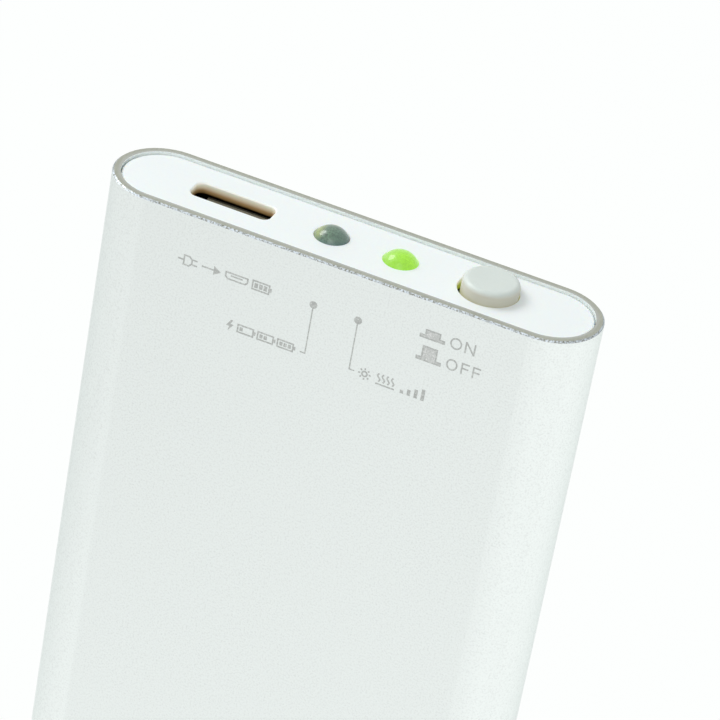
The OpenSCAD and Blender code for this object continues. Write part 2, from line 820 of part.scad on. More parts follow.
// Each chip has four legs down each side, from the middle of its edge out and down to the board
module chip_legs() {
  reach = chip_leg[2] / 2;
  knee_y = board_y - chip_lift - chip_body[1] / 2;
  color("silver")
    for (at = [charge_chip_at, control_chip_at], s = [-1, 1], i = [-1.5:1.5])
      translate([at[0] + s * (chip_body[0] + reach) / 2, 0, board_low_z + at[1] + i * chip_leg_pitch]) {
        block(0, knee_y, -chip_leg[0] / 2, [reach, chip_leg[1], chip_leg[0]]);
        block(s * (reach - chip_leg[1]) / 2, knee_y, -chip_leg[0] / 2,
          [chip_leg[1], board_y - knee_y, chip_leg[0]]);
        block(s * reach, board_y - chip_leg[1], -chip_leg[0] / 2, [reach, chip_leg[1], chip_leg[0]]);
      }
}

module power_inductor() {
  color("darkslategray")
    translate([inductor_at[0], board_y, board_low_z + inductor_at[1]]) rotate([90, 0, 0])
      linear_extrude(height = inductor_size[1]) round_slab(inductor_size[0], inductor_size[2], 1);
}

module power_transistors() {
  color("black")
    for (at = transistors_at) on_board(at, transistor_size);
}

module chip_capacitors() {
  color("tan")
    for (at = capacitors_at) on_board(at, capacitor_size);
}

module chip_resistors() {
  color("black")
    for (at = resistors_at) on_board(at, resistor_size);
}

// The battery

module battery_cell() {
  color("lightgray") {
    translate([0, 0, cell_low_z])
      linear_extrude(height = cell_l) round_slab(cell_w, cell_t, cell_round);
    block(0, -seal_t / 2, cell_top_z - cut, [seal_w, seal_t, seal_h + cut]);
  }
}

module protection_board() {
  color("darkgreen")
    block(0, -guard_t / 2, guard_low_z, [guard_w, guard_t, guard_h]);
}

// Each tab leaves the front of the seal and steps out to the front of the protection board
module battery_tabs() {
  seal_top_z = cell_top_z + seal_h;
  guard_y = -guard_t / 2 - tab_t;
  color("silver")
    for (s = [-1, 1]) {
      block(s * tab_x, -seal_t / 2 - tab_t, seal_top_z - tab_lap, [tab_w, tab_t, tab_lap + tab_t]);
      block(s * tab_x, guard_y, seal_top_z, [tab_w, tab_t + guard_t / 2 - seal_t / 2, tab_t]);
      block(s * tab_x, guard_y, seal_top_z, [tab_w, tab_t, end_gap + tab_lap]);
    }
}

module battery_lead(x) {
  guard_y = -guard_t / 2 - battery_lead_d / 2 - pad_gap;
  pad = [x, board_y - battery_lead_d / 2 - pad_gap, board_low_z + pad_low];
  route = concat([[x, guard_y, guard_top_z - guard_h / 2]],
    wire_route([x, guard_y, guard_top_z + bend_clear], pad, wire_lap));
  tube(route, battery_lead_d, 8, [1, 0, 0]);
}

module red_battery_lead() {
  color("red") battery_lead(red_lead_x);
}

module black_battery_lead() {
  color("black") battery_lead(black_lead_x);
}

// The heaters. Each is drawn for the front, and the rear ones are mirrored.

module heater_film() {
  translate([0, -cavity_t / 2 + film_t, 0]) rotate([90, 0, 0])
    linear_extrude(height = film_t) {
      translate([-heater_w / 2, heater_low_z]) square([heater_w, heater_l]);
      translate([tail_x - tail_w / 2, heater_top_z - cut]) square([tail_w, tail_h + cut]);
    }
}

// The track runs up and down the film in one line, and its two ends rise into the tail
module heater_track() {
  span = (track_runs - 1) * track_pitch;
  low_z = heater_low_z + track_edge;
  end_z = heater_top_z - track_edge - track_w;
  run_top_z = end_z - track_pitch;
  left = -track_w / 2;
  translate([0, -cavity_t / 2 + heater_t, 0]) rotate([90, 0, 0])
    linear_extrude(height = track_t) {
      for (i = [0:track_runs - 1])
        translate([i * track_pitch - span / 2 + left, low_z]) square([track_w, run_top_z - low_z]);
      for (i = [0:track_runs - 2])
        translate([i * track_pitch - span / 2 + left, i % 2 == 0 ? low_z : run_top_z - track_w])
          square([track_pitch + track_w, track_w]);
      for (s = [-1, 1]) {
        translate([s * span / 2 + left, run_top_z - cut])
          square([track_w, end_z + track_w - run_top_z + cut]);
        translate([min(s * span / 2, tail_x + s * tail_w / 4) + left, end_z])
          square([abs(s * span / 2 - tail_x - s * tail_w / 4) + track_w, track_w]);
        translate([tail_x + s * tail_w / 4 + left, end_z])
          square([track_w, track_edge + track_w + tail_h - 2 * wire_lap]);
      }
    }
}

module front_heater_film() {
  color("darkorange") heater_film();
}

module rear_heater_film() {
  color("darkorange") mirror([0, 1, 0]) heater_film();
}

module front_heater_track() {
  color("peru") heater_track();
}

module rear_heater_track() {
  color("peru") mirror([0, 1, 0]) heater_track();
}

module foam_pad() {
  block(0, -cell_t / 2 - foam_t, heater_low_z + foam_edge, [foam_w, foam_t, heater_l - 2 * foam_edge - 1]);
}

module front_foam_pad() {
  color("slategray") foam_pad();
}

module rear_foam_pad() {
  color("slategray") mirror([0, 1, 0]) foam_pad();
}

// Wires from a film's tail to the board. The front ones bend above the protection board,
// and the rear ones bend below the bridge.
module heater_leads(side, bend_low_z, bend_top_z, shift) {
  film_y = side * (cavity_t / 2 - film_t - heater_lead_d / 2 - pad_gap);
  pad_y = board_y - heater_lead_d / 2 - pad_gap;
  for (s = [-1, 1]) {
    x = tail_x + s * tail_w / 4;
    solder = [x, film_y, heater_top_z + tail_h - 1.5 * wire_lap];
    end_l = board_low_z + pad_rise - bend_top_z;
    route = concat([solder], wire_route([x, film_y, bend_low_z], [x + shift, pad_y, bend_top_z], end_l));
    tube(route, heater_lead_d, 8, [1, 0, 0]);
  }
}

module front_heater_leads() {
  color("white") heater_leads(-1, guard_top_z + bend_clear, board_low_z + pad_low, 0);
}

module rear_heater_leads() {
  color("white") heater_leads(1, guard_low_z, bridge_low_z - bend_clear / 2, wire_shift);
}

// The thermistor lies on the front film beside its tail

module thermistor() {
  color("black")
    translate([bead_x, -cavity_t / 2 + film_t + bead_d / 2 + pad_gap, cell_top_z + near]) {
      cylinder(h = bead_l - bead_d / 2, d = bead_d);
      translate([0, 0, bead_l - bead_d / 2]) sphere(d = bead_d);
    }
}

module thermistor_leads() {
  bead_y = -cavity_t / 2 + film_t + bead_d / 2 + pad_gap;
  color("silver")
    for (s = [-1, 1]) {
      start = [bead_x + s * bead_d / 4, bead_y, cell_top_z + near + bead_l + wire_dip];
      pad = [bead_x + s * bead_d / 2, board_y - fine_lead_d / 2 - pad_gap, board_low_z + pad_low];
      tube(wire_route(start, pad, wire_lap), fine_lead_d, 6, [1, 0, 0]);
    }
}

sleeve();
top_cap();
bottom_cap();
inner_frame();
power_button();
switch_stem();
contact_bridges();
switch_housing();
switch_spring();
latch_pin();
switch_legs();
usb_shell();
usb_insulator();
usb_contacts();
charging_led();
charging_led_leads();
warming_led();
warming_led_leads();
circuit_board();
board_screws();
charge_chip();
control_chip();
chip_legs();
power_inductor();
power_transistors();
chip_capacitors();
chip_resistors();
battery_cell();
battery_tabs();
protection_board();
red_battery_lead();
black_battery_lead();
front_heater_film();
rear_heater_film();
front_heater_track();
rear_heater_track();
front_heater_leads();
rear_heater_leads();
front_foam_pad();
rear_foam_pad();
thermistor();
thermistor_leads();
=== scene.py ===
"""Looks of the rechargeable hand warmer, laid out as an add-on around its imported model."""

import math

import bmesh
import bpy
from bpy.props import FloatProperty, FloatVectorProperty, PointerProperty
from bpy.types import Operator, Panel, PropertyGroup
from mathutils import Matrix, Vector


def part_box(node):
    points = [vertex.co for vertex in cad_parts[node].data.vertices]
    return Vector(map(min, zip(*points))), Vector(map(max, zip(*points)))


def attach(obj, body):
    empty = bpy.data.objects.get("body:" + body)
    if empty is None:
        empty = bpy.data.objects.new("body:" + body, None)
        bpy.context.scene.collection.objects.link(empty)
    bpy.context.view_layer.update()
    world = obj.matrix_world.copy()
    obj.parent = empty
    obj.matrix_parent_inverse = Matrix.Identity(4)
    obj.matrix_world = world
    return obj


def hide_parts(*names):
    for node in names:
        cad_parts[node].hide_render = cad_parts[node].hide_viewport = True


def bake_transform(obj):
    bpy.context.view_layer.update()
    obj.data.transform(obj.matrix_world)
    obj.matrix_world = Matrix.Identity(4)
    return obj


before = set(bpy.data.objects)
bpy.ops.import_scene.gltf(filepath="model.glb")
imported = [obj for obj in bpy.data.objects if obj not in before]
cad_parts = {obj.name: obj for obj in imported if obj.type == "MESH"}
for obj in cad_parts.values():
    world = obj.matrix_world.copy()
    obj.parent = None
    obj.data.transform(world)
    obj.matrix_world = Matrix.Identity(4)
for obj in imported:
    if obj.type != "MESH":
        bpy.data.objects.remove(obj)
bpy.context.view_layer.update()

bl_info = {
    "name": "Hand Warmer",
    "version": (1, 0, 0),
    "blender": (4, 5, 0),
    "location": "3D View > Sidebar > Hand Warmer",
    "description": "Finishes, printed marks and studio of a rechargeable hand warmer",
    "category": "Object",
}

MM = 0.001

# Places on the model: front, rounded sides and upper rim of the sleeve, face and thickness of the
# top cap, front of the board, right side of the warming light, middle of the charging slot
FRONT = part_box("sleeve")[0].y
RADIUS = -FRONT
TURN_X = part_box("sleeve")[1].x - RADIUS
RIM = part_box("sleeve")[1].z
CAP_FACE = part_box("top_cap")[1].z
PLATE = 1.0 * MM
BOARD_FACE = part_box("circuit_board")[0].y
LIGHT_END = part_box("warming_led")[1].x
PORT_X = (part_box("usb_shell")[0].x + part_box("usb_shell")[1].x) / 2

# Corners this close are one corner, and faces that differ by fewer degrees are one face
SAFE_JOIN = 1e-6
FLAT_WITHIN = 0.5
# Edges that turn by more degrees stay crisp, on moulded and stamped parts and on round wires
PART_CREASE = 40.0
WIRE_CREASE = 60.0

# Tones of the holes, the connector's mouth and the lenses, in linear values. All but black are painted shade
# or painted light, each named for what it paints
BLACK = (0.0, 0.0, 0.0)
PAINTED_PORT_SHADE = (0.02, 0.014, 0.008)
SHELL_MOUTH_PAINTED_SHADE = (0.15, 0.14, 0.105)
UNLIT_RIGHT_PAINTED_SHADE = (0.10, 0.19, 0.15)
UNLIT_FOOT_PAINTED_SHADOW = (0.05, 0.13, 0.14)
LIT_LEFT_PAINTED_LIGHT = (0.36, 0.62, 0.14)
LIT_FRONT_PAINTED_SHADE = (0.25, 0.62, 0.04)

# Tones of the metals inside and of the wires' coverings, by the names of their finishes
METALS = {
    "spring wire": (0.62, 0.62, 0.60),
    "brass": (0.83, 0.62, 0.28),
    "gilt contacts": (0.92, 0.70, 0.32),
    "nickel shell": (0.60, 0.57, 0.48),
    "nickel tabs": (0.68, 0.66, 0.62),
    "screw zinc": (0.66, 0.67, 0.70),
    "tinned legs": (0.72, 0.72, 0.70),
    "thermistor wire": (0.72, 0.72, 0.70),
    "tinned leads": (0.74, 0.74, 0.72),
    "chip legs": (0.76, 0.76, 0.74),
    "solder": (0.78, 0.78, 0.76),
    "etched foil": (0.72, 0.45, 0.30),
}
COVERINGS = {
    "red covering": (0.52, 0.02, 0.015),
    "black covering": (0.02, 0.02, 0.022),
    "white covering": (0.78, 0.78, 0.75),
}

# Tones of the plastics, the board and the soft parts inside
STEM_BLACK = (0.045, 0.045, 0.05)
SWITCH_BLACK = (0.03, 0.03, 0.032)
CONNECTOR_BLACK = (0.02, 0.02, 0.021)
CHIP_BLACK = (0.022, 0.022, 0.024)
CARRIER_GREY = (0.12, 0.122, 0.118)
FERRITE = (0.06, 0.06, 0.058)
CAPACITOR_CLAY = (0.36, 0.24, 0.14)
BEAD_EPOXY = (0.03, 0.05, 0.04)
BOARD_MASK = (0.012, 0.075, 0.03)
BOARD_COPPER = (0.02, 0.13, 0.05)
BOARD_WEAVE = (0.03, 0.16, 0.06)
BOARD_EDGE = (0.38, 0.33, 0.16)
BOARD_PAINT = (0.82, 0.82, 0.78)
POUCH_DARK = (0.55, 0.56, 0.57)
POUCH_LIGHT = (0.66, 0.67, 0.68)
AMBER_DARK = (0.52, 0.20, 0.02)
AMBER_LIGHT = (0.66, 0.30, 0.04)
FOAM_PORE_PAINTED_SHADE = (0.03, 0.032, 0.035)
FOAM_SKIN = (0.12, 0.125, 0.13)

# Places of the printed marks, in millimetres: x from the sleeve's middle, z down from its rim.
# Each dot: its middle, the foot of its line, and the side to which the line turns
DOTS = ((-1.15, -4.25, -9.0, -1), (2.89, -4.19, -8.94, 1))
LEADER_TURN = 0.46
# Each switch sign: heights of its top, shoulder and foot, between shared sides
SIGN_HEIGHTS = ((-2.70, -3.24, -3.60), (-4.26, -5.36, -5.72))
SIGN_FOOT = (8.30, 10.56)
SIGN_TOP = (8.74, 10.12)
# The round letters: middle, radius and how much taller than wide
ROUND_LETTERS = ((11.50, -3.11, 0.53, 1.05), (11.48, -5.15, 0.50, 1.10))
# The letters of straight strokes: left and lower side, width and height
LETTER_N = (12.29, -3.66, 0.92, 1.08)
LETTERS_F = ((12.30, -5.68, 0.72, 1.08), (13.31, -5.68, 0.72, 1.08))
# The rows of picture signs: lower side and height
INPUT_ROW = (-4.97, 1.19)
CHARGING_ROW = (-9.47, 1.08)
WARMING_ROW = (-9.44, 1.08)


# Values that a user would change

def colour(name, about, default):
    """A colour property, in linear values."""
    return FloatVectorProperty(name=name, description=about, default=default, size=3, min=0, max=1,
                               subtype="COLOR")


def length(name, about, default):
    """A length property, in metres."""
    return FloatProperty(name=name, description=about, default=default, min=0, precision=6,
                         subtype="DISTANCE", unit="LENGTH")


def amount(name, about, default, top=1.0):
    """A plain number from nothing to top."""
    return FloatProperty(name=name, description=about, default=default, min=0, max=top)


def power(name, about, default):
    """A lamp's power, in watts."""
    return FloatProperty(name=name, description=about, default=default, min=0, unit="POWER")


def angle(name, about, degrees):
    """An angle, given in degrees."""
    return FloatProperty(name=name, description=about, default=math.radians(degrees), subtype="ANGLE")


class WARMER_PG_finish(PropertyGroup):
    """Colours of the outside"""
    metal: colour("Sleeve", "Blasted aluminium of the sleeve", (0.96, 1.0, 0.985))
    edge_tint: colour("Edge tint", "Tone of the metal seen along its surface", (0.80, 0.83, 0.82))
    cut_metal: colour("Cut metal", "Sawn ends of the sleeve", (0.41, 0.418, 0.36))
    cut_inner: colour("Inner rim", "Sawn ends where they meet the inner chamfer", (0.44, 0.452, 0.415))
    # Both chamfer tones are partly the metal and partly painted reflection: bluish like the sky, lighter on
    # the inner chamfer
    outer_edge_with_painted_sky: colour("Outer edge", "Chamfer round the outside of the sleeve's ends", (0.56, 0.61, 0.66))
    inner_edge_with_painted_sky: colour("Inner edge", "Chamfer round the inside of the sleeve's ends", (0.93, 0.99, 1.0))
    cap: colour("Caps", "White plastic of both end caps", (0.872, 0.922, 0.922))
    # The hole walls' tones below are painted shade that darkens with depth, warmed like light through the
    # white plastic
    painted_wall_shade_cream: colour("Hole wall, upper", "Walls of the cap's holes a quarter down", (0.92, 0.895, 0.755))
    painted_wall_shade_tan: colour("Hole wall, middle", "Walls of the cap's holes halfway down", (0.92, 0.81, 0.58))
    painted_wall_shade_amber: colour("Hole wall, lower", "Walls of the cap's holes three quarters down", (0.62, 0.40, 0.18))
    painted_wall_shade_brown: colour("Hole wall, foot", "Foot of the walls of the cap's holes", (0.17, 0.095, 0.03))
    # Both glows below are painted light: emission on the cap's own hole walls
    painted_seep_glow: colour("Seeping light", "Glow of the white plastic at the mouth of its holes", (0.25, 0.24, 0.20))
    painted_leak_glow: colour("Leaking light", "Glow of the warming light in the button's hole", (0.36, 0.50, 0.03))
    button: colour("Button", "Grey plastic of the button", (0.665, 0.725, 0.69))
    # The button's side tone is painted shade, darker and warmer than the lit top
    button_side_painted_shade: colour("Button side", "Warmer tone of the button's side", (0.62, 0.605, 0.51))
    unlit_lens: colour("Charging light", "Lens of the charging light, off", (0.095, 0.175, 0.115))
    # The charging lens's side that catches the light is painted light
    unlit_lens_painted_lit_side: colour("Charging light side", "Side of that lens that catches the light", (0.29, 0.37, 0.10))
    lit_lens: colour("Warming light", "Lens of the warming light, on", (0.38, 0.87, 0.025))
    ink: colour("Ink", "Grey ink of the printed marks", (0.485, 0.50, 0.485))
    grain: length("Blast grain", "Size of one pit of the blasted metal", 0.00017)
    glow: amount("Glow", "Strength of the warming light", 0.60, 10.0)


class WARMER_PG_print(PropertyGroup):
    """Sizes of the printed marks"""
    stroke: length("Stroke", "Width of the strokes of signs and letters", 0.00014)
    leader: length("Leader", "Width of the lines that lead from the dots", 0.00011)
    dot: length("Dot", "Diameter of the dots under the lights", 0.0007)
    ink_height: length("Ink height", "How far the ink stands on the metal", 0.000012)


class WARMER_PG_studio(PropertyGroup):
    """Light and camera"""
    room: amount("Room light", "Strength of the light from all round", 0.58, 5.0)
    key: power("Key light", "Power of the large lamp on the left", 6.0)
    fill: power("Fill light", "Power of the lamp above the front", 2.9)
    floor_glow: amount("Floor glow", "Share of the floor that shows as plain white", 0.97)
    lens: FloatProperty(name="Lens", description="Focal length of the camera", default=211.5, min=1,
                        unit="CAMERA")
    distance: length("Distance", "From the camera to the rim of the sleeve", 0.34945)
    azimuth: angle("Azimuth", "Camera's turn to the right of the front", 17.470)
    elevation: angle("Elevation", "Camera's angle above the rim", 31.747)
    roll: angle("Roll", "Camera's turn about its own view", 10.621)
    slide: FloatVectorProperty(name="Slide", description="Camera's place right and up of that line", size=2,
                               default=(0.0003419, -0.0097198), precision=6, subtype="XYZ", unit="LENGTH")


# Materials

class Nodes:
    """A node tree, with short ways to add to it."""

    def __init__(self, tree):
        self.tree = tree

    def feed(self, socket, value):
        """Links a socket's value, or sets it where it is the same all over."""
        if isinstance(value, bpy.types.NodeSocket):
            self.tree.links.new(value, socket)
        elif socket.type == "RGBA":
            socket.default_value = (*tuple(value)[:3], 1.0)
        else:
            socket.default_value = value

    def add(self, kind, feeds, **settings):
        """A new node with its settings, and with its inputs fed by name or number."""
        node = self.tree.nodes.new(kind)
        for name, value in settings.items():
            setattr(node, name, value)
        for name, value in feeds.items():
            self.feed(node.inputs[name], value)
        return node

    def reckon(self, how, *values):
        """The result of one step of arithmetic, by the name that Blender gives it."""
        return self.add("ShaderNodeMath", dict(enumerate(values)), operation=how).outputs[0]

    def both(self, a, b):
        """1 only where both factors are 1."""
        return self.reckon("MULTIPLY", a, b)

    def remap(self, value, low, high, to_low=0.0, to_high=1.0):
        """Stretches the part of a value from low to high over another range, and holds it beyond."""
        feeds = {"Value": value, "From Min": low, "From Max": high, "To Min": to_low, "To Max": to_high}
        return self.add("ShaderNodeMapRange", feeds).outputs[0]

    def seen_directly(self):
        """1 for rays from the camera, and for those seen in metal or through a lens."""
        rays = self.add("ShaderNodeLightPath", {}).outputs
        either = self.reckon("MAXIMUM", rays["Is Camera Ray"], rays["Is Glossy Ray"])
        return self.reckon("MAXIMUM", either, rays["Is Transmission Ray"])


class Finish(Nodes):
    """A material, with short ways to add the patterns that its look is made of."""

    def __init__(self, name, **surface):
        self.material = bpy.data.materials.new(name)
        self.material.use_nodes = True
        super().__init__(self.material.node_tree)
        self.shader = self.tree.nodes["Principled BSDF"]
        self.place = self.add("ShaderNodeTexCoord", {})
        self.surface(**surface)

    def surface(self, **values):
        """Sets sockets of the shader by their names, with _ for a space."""
        for name, value in values.items():
            self.feed(self.shader.inputs[name.replace("_", " ")], value)

    def noise(self, size, detail=2.0, roughness=0.5, stretch=None):
        """Cloudy pattern with features of that size in metres, squeezed along the axes by stretch."""
        place = self.place.outputs["Object"]
        if stretch:
            place = self.add("ShaderNodeMapping", {"Vector": place, "Scale": stretch}).outputs[0]
        feeds = {"Vector": place, "Scale": 1 / size, "Detail": detail, "Roughness": roughness}
        return self.add("ShaderNodeTexNoise", feeds).outputs[0]

    def cells(self, size, kind="F1"):
        """Distance from the middles of cells, or from their borders."""
        feeds = {"Vector": self.place.outputs["Object"], "Scale": 1 / size}
        return self.add("ShaderNodeTexVoronoi", feeds, feature=kind).outputs["Distance"]

    def bands(self, size, direction):
        """Parallel ridges that far apart."""
        feeds = {"Vector": self.place.outputs["Object"], "Scale": math.tau / 20 / size,
                 "Distortion": 0.0, "Detail": 1.0}
        return self.add("ShaderNodeTexWave", feeds, bands_direction=direction).outputs["Fac"]

    def axis(self, name, of="Object"):
        """One of the coordinates X, Y and Z of the place, or of the surface's direction."""
        return self.add("ShaderNodeSeparateXYZ", {0: self.place.outputs[of]}).outputs[name]

    def slope(self, name):
        """How far the surface faces along X, Y or Z, either way: 1 where it faces straight along it."""
        return self.reckon("ABSOLUTE", self.axis(name, "Normal"))

    def across(self):
        """Distance from the sleeve's middle line, round which its sides turn."""
        beside = self.reckon("ABSOLUTE", self.axis("X"))
        past = self.reckon("MAXIMUM", self.reckon("SUBTRACT", beside, TURN_X), 0.0)
        flat = self.add("ShaderNodeCombineXYZ", {0: past, 1: self.axis("Y")}).outputs[0]
        return self.add("ShaderNodeVectorMath", {0: flat}, operation="LENGTH").outputs["Value"]

    def through_wall(self, across, inner, outer, to_low=0.0, to_high=1.0):
        """Rises through the sleeve's wall, between two depths in millimetres from its outside."""
        return self.remap(across, RADIUS - inner * MM, RADIUS - outer * MM, to_low, to_high)

    def ramp(self, value, stops):
        """Colours that follow each other along a value from 0 to 1."""
        node = self.add("ShaderNodeValToRGB", {0: value})
        points = node.color_ramp.elements
        while len(points) < len(stops):
            points.new(0.5)
        for point, (place, tone) in zip(points, stops):
            point.position = place
            point.color = (*tone, 1.0)
        return node.outputs["Color"]

    def mix(self, factor, a, b):
        """Colour a where the factor is 0, and b where it is 1."""
        return self.add("ShaderNodeMix", {0: factor, 6: a, 7: b}, data_type="RGBA").outputs[2]

    def grade(self, value, low, high, a, b, most=1.0):
        """Colour a up to the low value, which turns to b by the high one, or to that share of b."""
        return self.mix(self.remap(value, low, high, 0.0, most), a, b)

    def bump(self, height, depth, strength=1.0, under=None):
        """Relief of that depth in metres. More than one can be laid on each other."""
        feeds = {"Height": height, "Distance": depth, "Strength": strength}
        if under:
            feeds["Normal"] = under
        return self.add("ShaderNodeBump", feeds).outputs[0]


def shade(tone, factor):
    """A tone made lighter or darker."""
    return tuple(min(1.0, c * factor) for c in tone)


def moulded(name, tone, roughness=0.42, grain=0.00025, depth=0.000004, flow=0.03, **surface):
    """Moulded plastic: fine grain of the mould and a slow change of tone from its flow."""
    f = Finish(name, **surface)
    cloud = f.noise(flow, 3.0)
    speck = f.noise(grain, 2.0, 0.6)
    tint = f.grade(cloud, 0.35, 0.65, shade(tone, 0.97), shade(tone, 1.02))
    f.surface(Base_Color=f.grade(speck, 0.3, 0.8, tint, shade(tone, 0.94), 0.35),
              Roughness=f.remap(speck, 0.3, 0.7, roughness - 0.05, roughness + 0.06),
              Normal=f.bump(speck, depth, 0.5))
    return f


def wire_metal(name, roughness=0.28, draw=(40, 40, 2)):
    """Drawn or plated metal: fine lines along it, dull spots and a little tarnish."""
    tone = METALS[name]
    f = Finish(name, Metallic=1.0)
    lines = f.noise(0.002, 3.0, 0.6, draw)
    spots = f.noise(0.0009, 4.0, 0.65)
    f.surface(Base_Color=f.grade(spots, 0.4, 0.75, tone, shade(tone, 0.72)),
              Roughness=f.remap(spots, 0.3, 0.7, roughness - 0.08, roughness + 0.14),
              Normal=f.bump(lines, 0.000006, 0.4))
    return f


def insulation(name):
    """Soft wire covering: slightly waxy, with rings left by the extruder."""
    tone = COVERINGS[name]
    f = Finish(name, Specular_IOR_Level=0.45, Coat_Weight=0.15, Coat_Roughness=0.3)
    wave = f.noise(0.0016, 2.0)
    dust = f.noise(0.0002, 3.0, 0.7)
    f.surface(Base_Color=f.grade(dust, 0.35, 0.8, tone, shade(tone, 0.7), 0.5),
              Roughness=f.remap(dust, 0.3, 0.7, 0.38, 0.55), Normal=f.bump(wave, 0.00003, 0.35))
    return f


# Shapes

def soften(piece, edge, crease):
    """Breaks a piece's edges by a small bevel, or only evens out its shading where the edge is 0."""
    mesh = piece.data
    if "custom_normal" in mesh.attributes:
        mesh.attributes.remove(mesh.attributes["custom_normal"])
    mesh.shade_smooth()
    join = piece.modifiers.new("joined corners", "WELD")
    join.merge_threshold = SAFE_JOIN
    if edge:
        whole = piece.modifiers.new("whole faces", "DECIMATE")
        whole.decimate_type = "DISSOLVE"
        whole.angle_limit = math.radians(FLAT_WITHIN)
        bevel = piece.modifiers.new("broken edges", "BEVEL")
        bevel.width = edge
        bevel.segments = 2
        bevel.limit_method = "ANGLE"
        bevel.angle_limit = math.radians(crease)
    crisp = piece.modifiers.new("crisp edges", "EDGE_SPLIT")
    crisp.split_angle = math.radians(crease)
    flat = piece.modifiers.new("flat faces", "WEIGHTED_NORMAL")
    flat.weight = 100
    flat.keep_sharp = True


def paint(piece, finish):
    """Puts a finish into every material slot of a piece."""
    for slot in piece.material_slots:
        slot.material = finish.material


def dress(names, finish, edge=None, crease=PART_CREASE):
    """Gives solids of the model their finish, and softens edges where a width in millimetres is given."""
    for name in names.split():
        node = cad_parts[name]
        paint(node, finish)
        if edge is not None:
            soften(node, edge * MM, crease)


def dress_wires(names, finish):
    """Gives round wires their finish and an even shading."""
    dress(names, finish, 0.0, WIRE_CREASE)


def add_object(name, data):
    """A new object in the scene, from a mesh, a lamp or a camera."""
    thing = bpy.data.objects.new(name, data)
    bpy.context.scene.collection.objects.link(thing)
    return thing


def add_piece(name, mesh_maker, finish, body="casing"):
    """A new piece from a filled bmesh, which rides a body and takes a slot's finish."""
    shape = bmesh.new()
    mesh_maker(shape)
    bmesh.ops.recalc_face_normals(shape, faces=shape.faces)
    mesh = bpy.data.meshes.new(name)
    shape.to_mesh(mesh)
    shape.free()
    if not mesh.polygons:
        raise RuntimeError(f"{name} came out empty")
    mesh.materials.append(finish.material)
    piece = add_object(name, mesh)
    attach(piece, body)
    return piece


def solids_of(name):
    """Lowest and highest corner of each separate solid of a node."""
    shape = bmesh.new()
    shape.from_mesh(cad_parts[name].data)
    bmesh.ops.remove_doubles(shape, verts=shape.verts, dist=SAFE_JOIN)
    left = set(shape.verts)
    boxes = []
    while left:
        group = [left.pop()]
        low = group[0].co.copy()
        high = group[0].co.copy()
        while group:
            corner = group.pop()
            low = Vector(map(min, low, corner.co))
            high = Vector(map(max, high, corner.co))
            for edge in corner.link_edges:
                other = edge.other_vert(corner)
                if other in left:
                    left.remove(other)
                    group.append(other)
        boxes.append((low, high))
    shape.free()
    return sorted(boxes, key=lambda pair: tuple(round(c, 6) for c in pair[0]))


def join_rings(shape, one, other):
    """Faces between two rings with as many corners."""
    count = len(one)
    for i in range(count):
        j = (i + 1) % count
        shape.faces.new((one[i], one[j], other[j], other[i]))


def plate(shape, outline, level, height, hole=None):
    """A thin flat shape that stands on a plane facing the front and sinks a little into it.
    Points are x and z in metres. A hole has as many points as the outline."""
    sink = height * 0.8

    def rings(points):
        """The corners in front, and those behind."""
        return [[shape.verts.new((x, level + y, z)) for x, z in points] for y in (-height, sink)]

    outer = rings(outline)
    sides = [outer]
    if hole is None:
        shape.faces.new(outer[0])
        shape.faces.new(outer[1])
    else:
        inner = rings(hole)
        sides.append(inner)
        for rim, hole_rim in zip(outer, inner):
            join_rings(shape, rim, hole_rim)
    for front, back in sides:
        join_rings(shape, front, back)


def stroke_edges(points, width, closed):
    """Both edges of a stroke along the points, mitred at its corners but never far beyond them."""
    sharpest = 0.4
    sides = ([], [])
    count = len(points)
    for i, point in enumerate(points):
        here = Vector(point)
        ahead = Vector(points[(i + 1) % count]) if closed or i < count - 1 else None
        behind = Vector(points[i - 1]) if closed or i > 0 else None
        into = (here - behind).normalized() if behind is not None else (ahead - here).normalized()
        out = (ahead - here).normalized() if ahead is not None else into
        across = Vector((-into.y - out.y, into.x + out.x)).normalized()
        reach = width / 2 / max(sharpest, across.dot(Vector((-into.y, into.x))))
        sides[0].append(tuple(here + across * reach))
        sides[1].append(tuple(here - across * reach))
    return sides


def stroke(shape, points, width, level, height, closed=False):
    """A printed line along the points."""
    one, other = stroke_edges(points, width, closed)
    if closed:
        plate(shape, one, level, height, other)
    else:
        plate(shape, one + other[::-1], level, height)


def round_points(x, z, radius, tall=1.0, count=28):
    """Points round a circle, or round an oval that is taller than wide."""
    turns = [math.tau * i / count for i in range(count)]
    return [(x + radius * math.cos(turn), z + radius * tall * math.sin(turn)) for turn in turns]


def box_points(x0, z0, x1, z1):
    """Corners of a box."""
    return [(x0, z0), (x1, z0), (x1, z1), (x0, z1)]


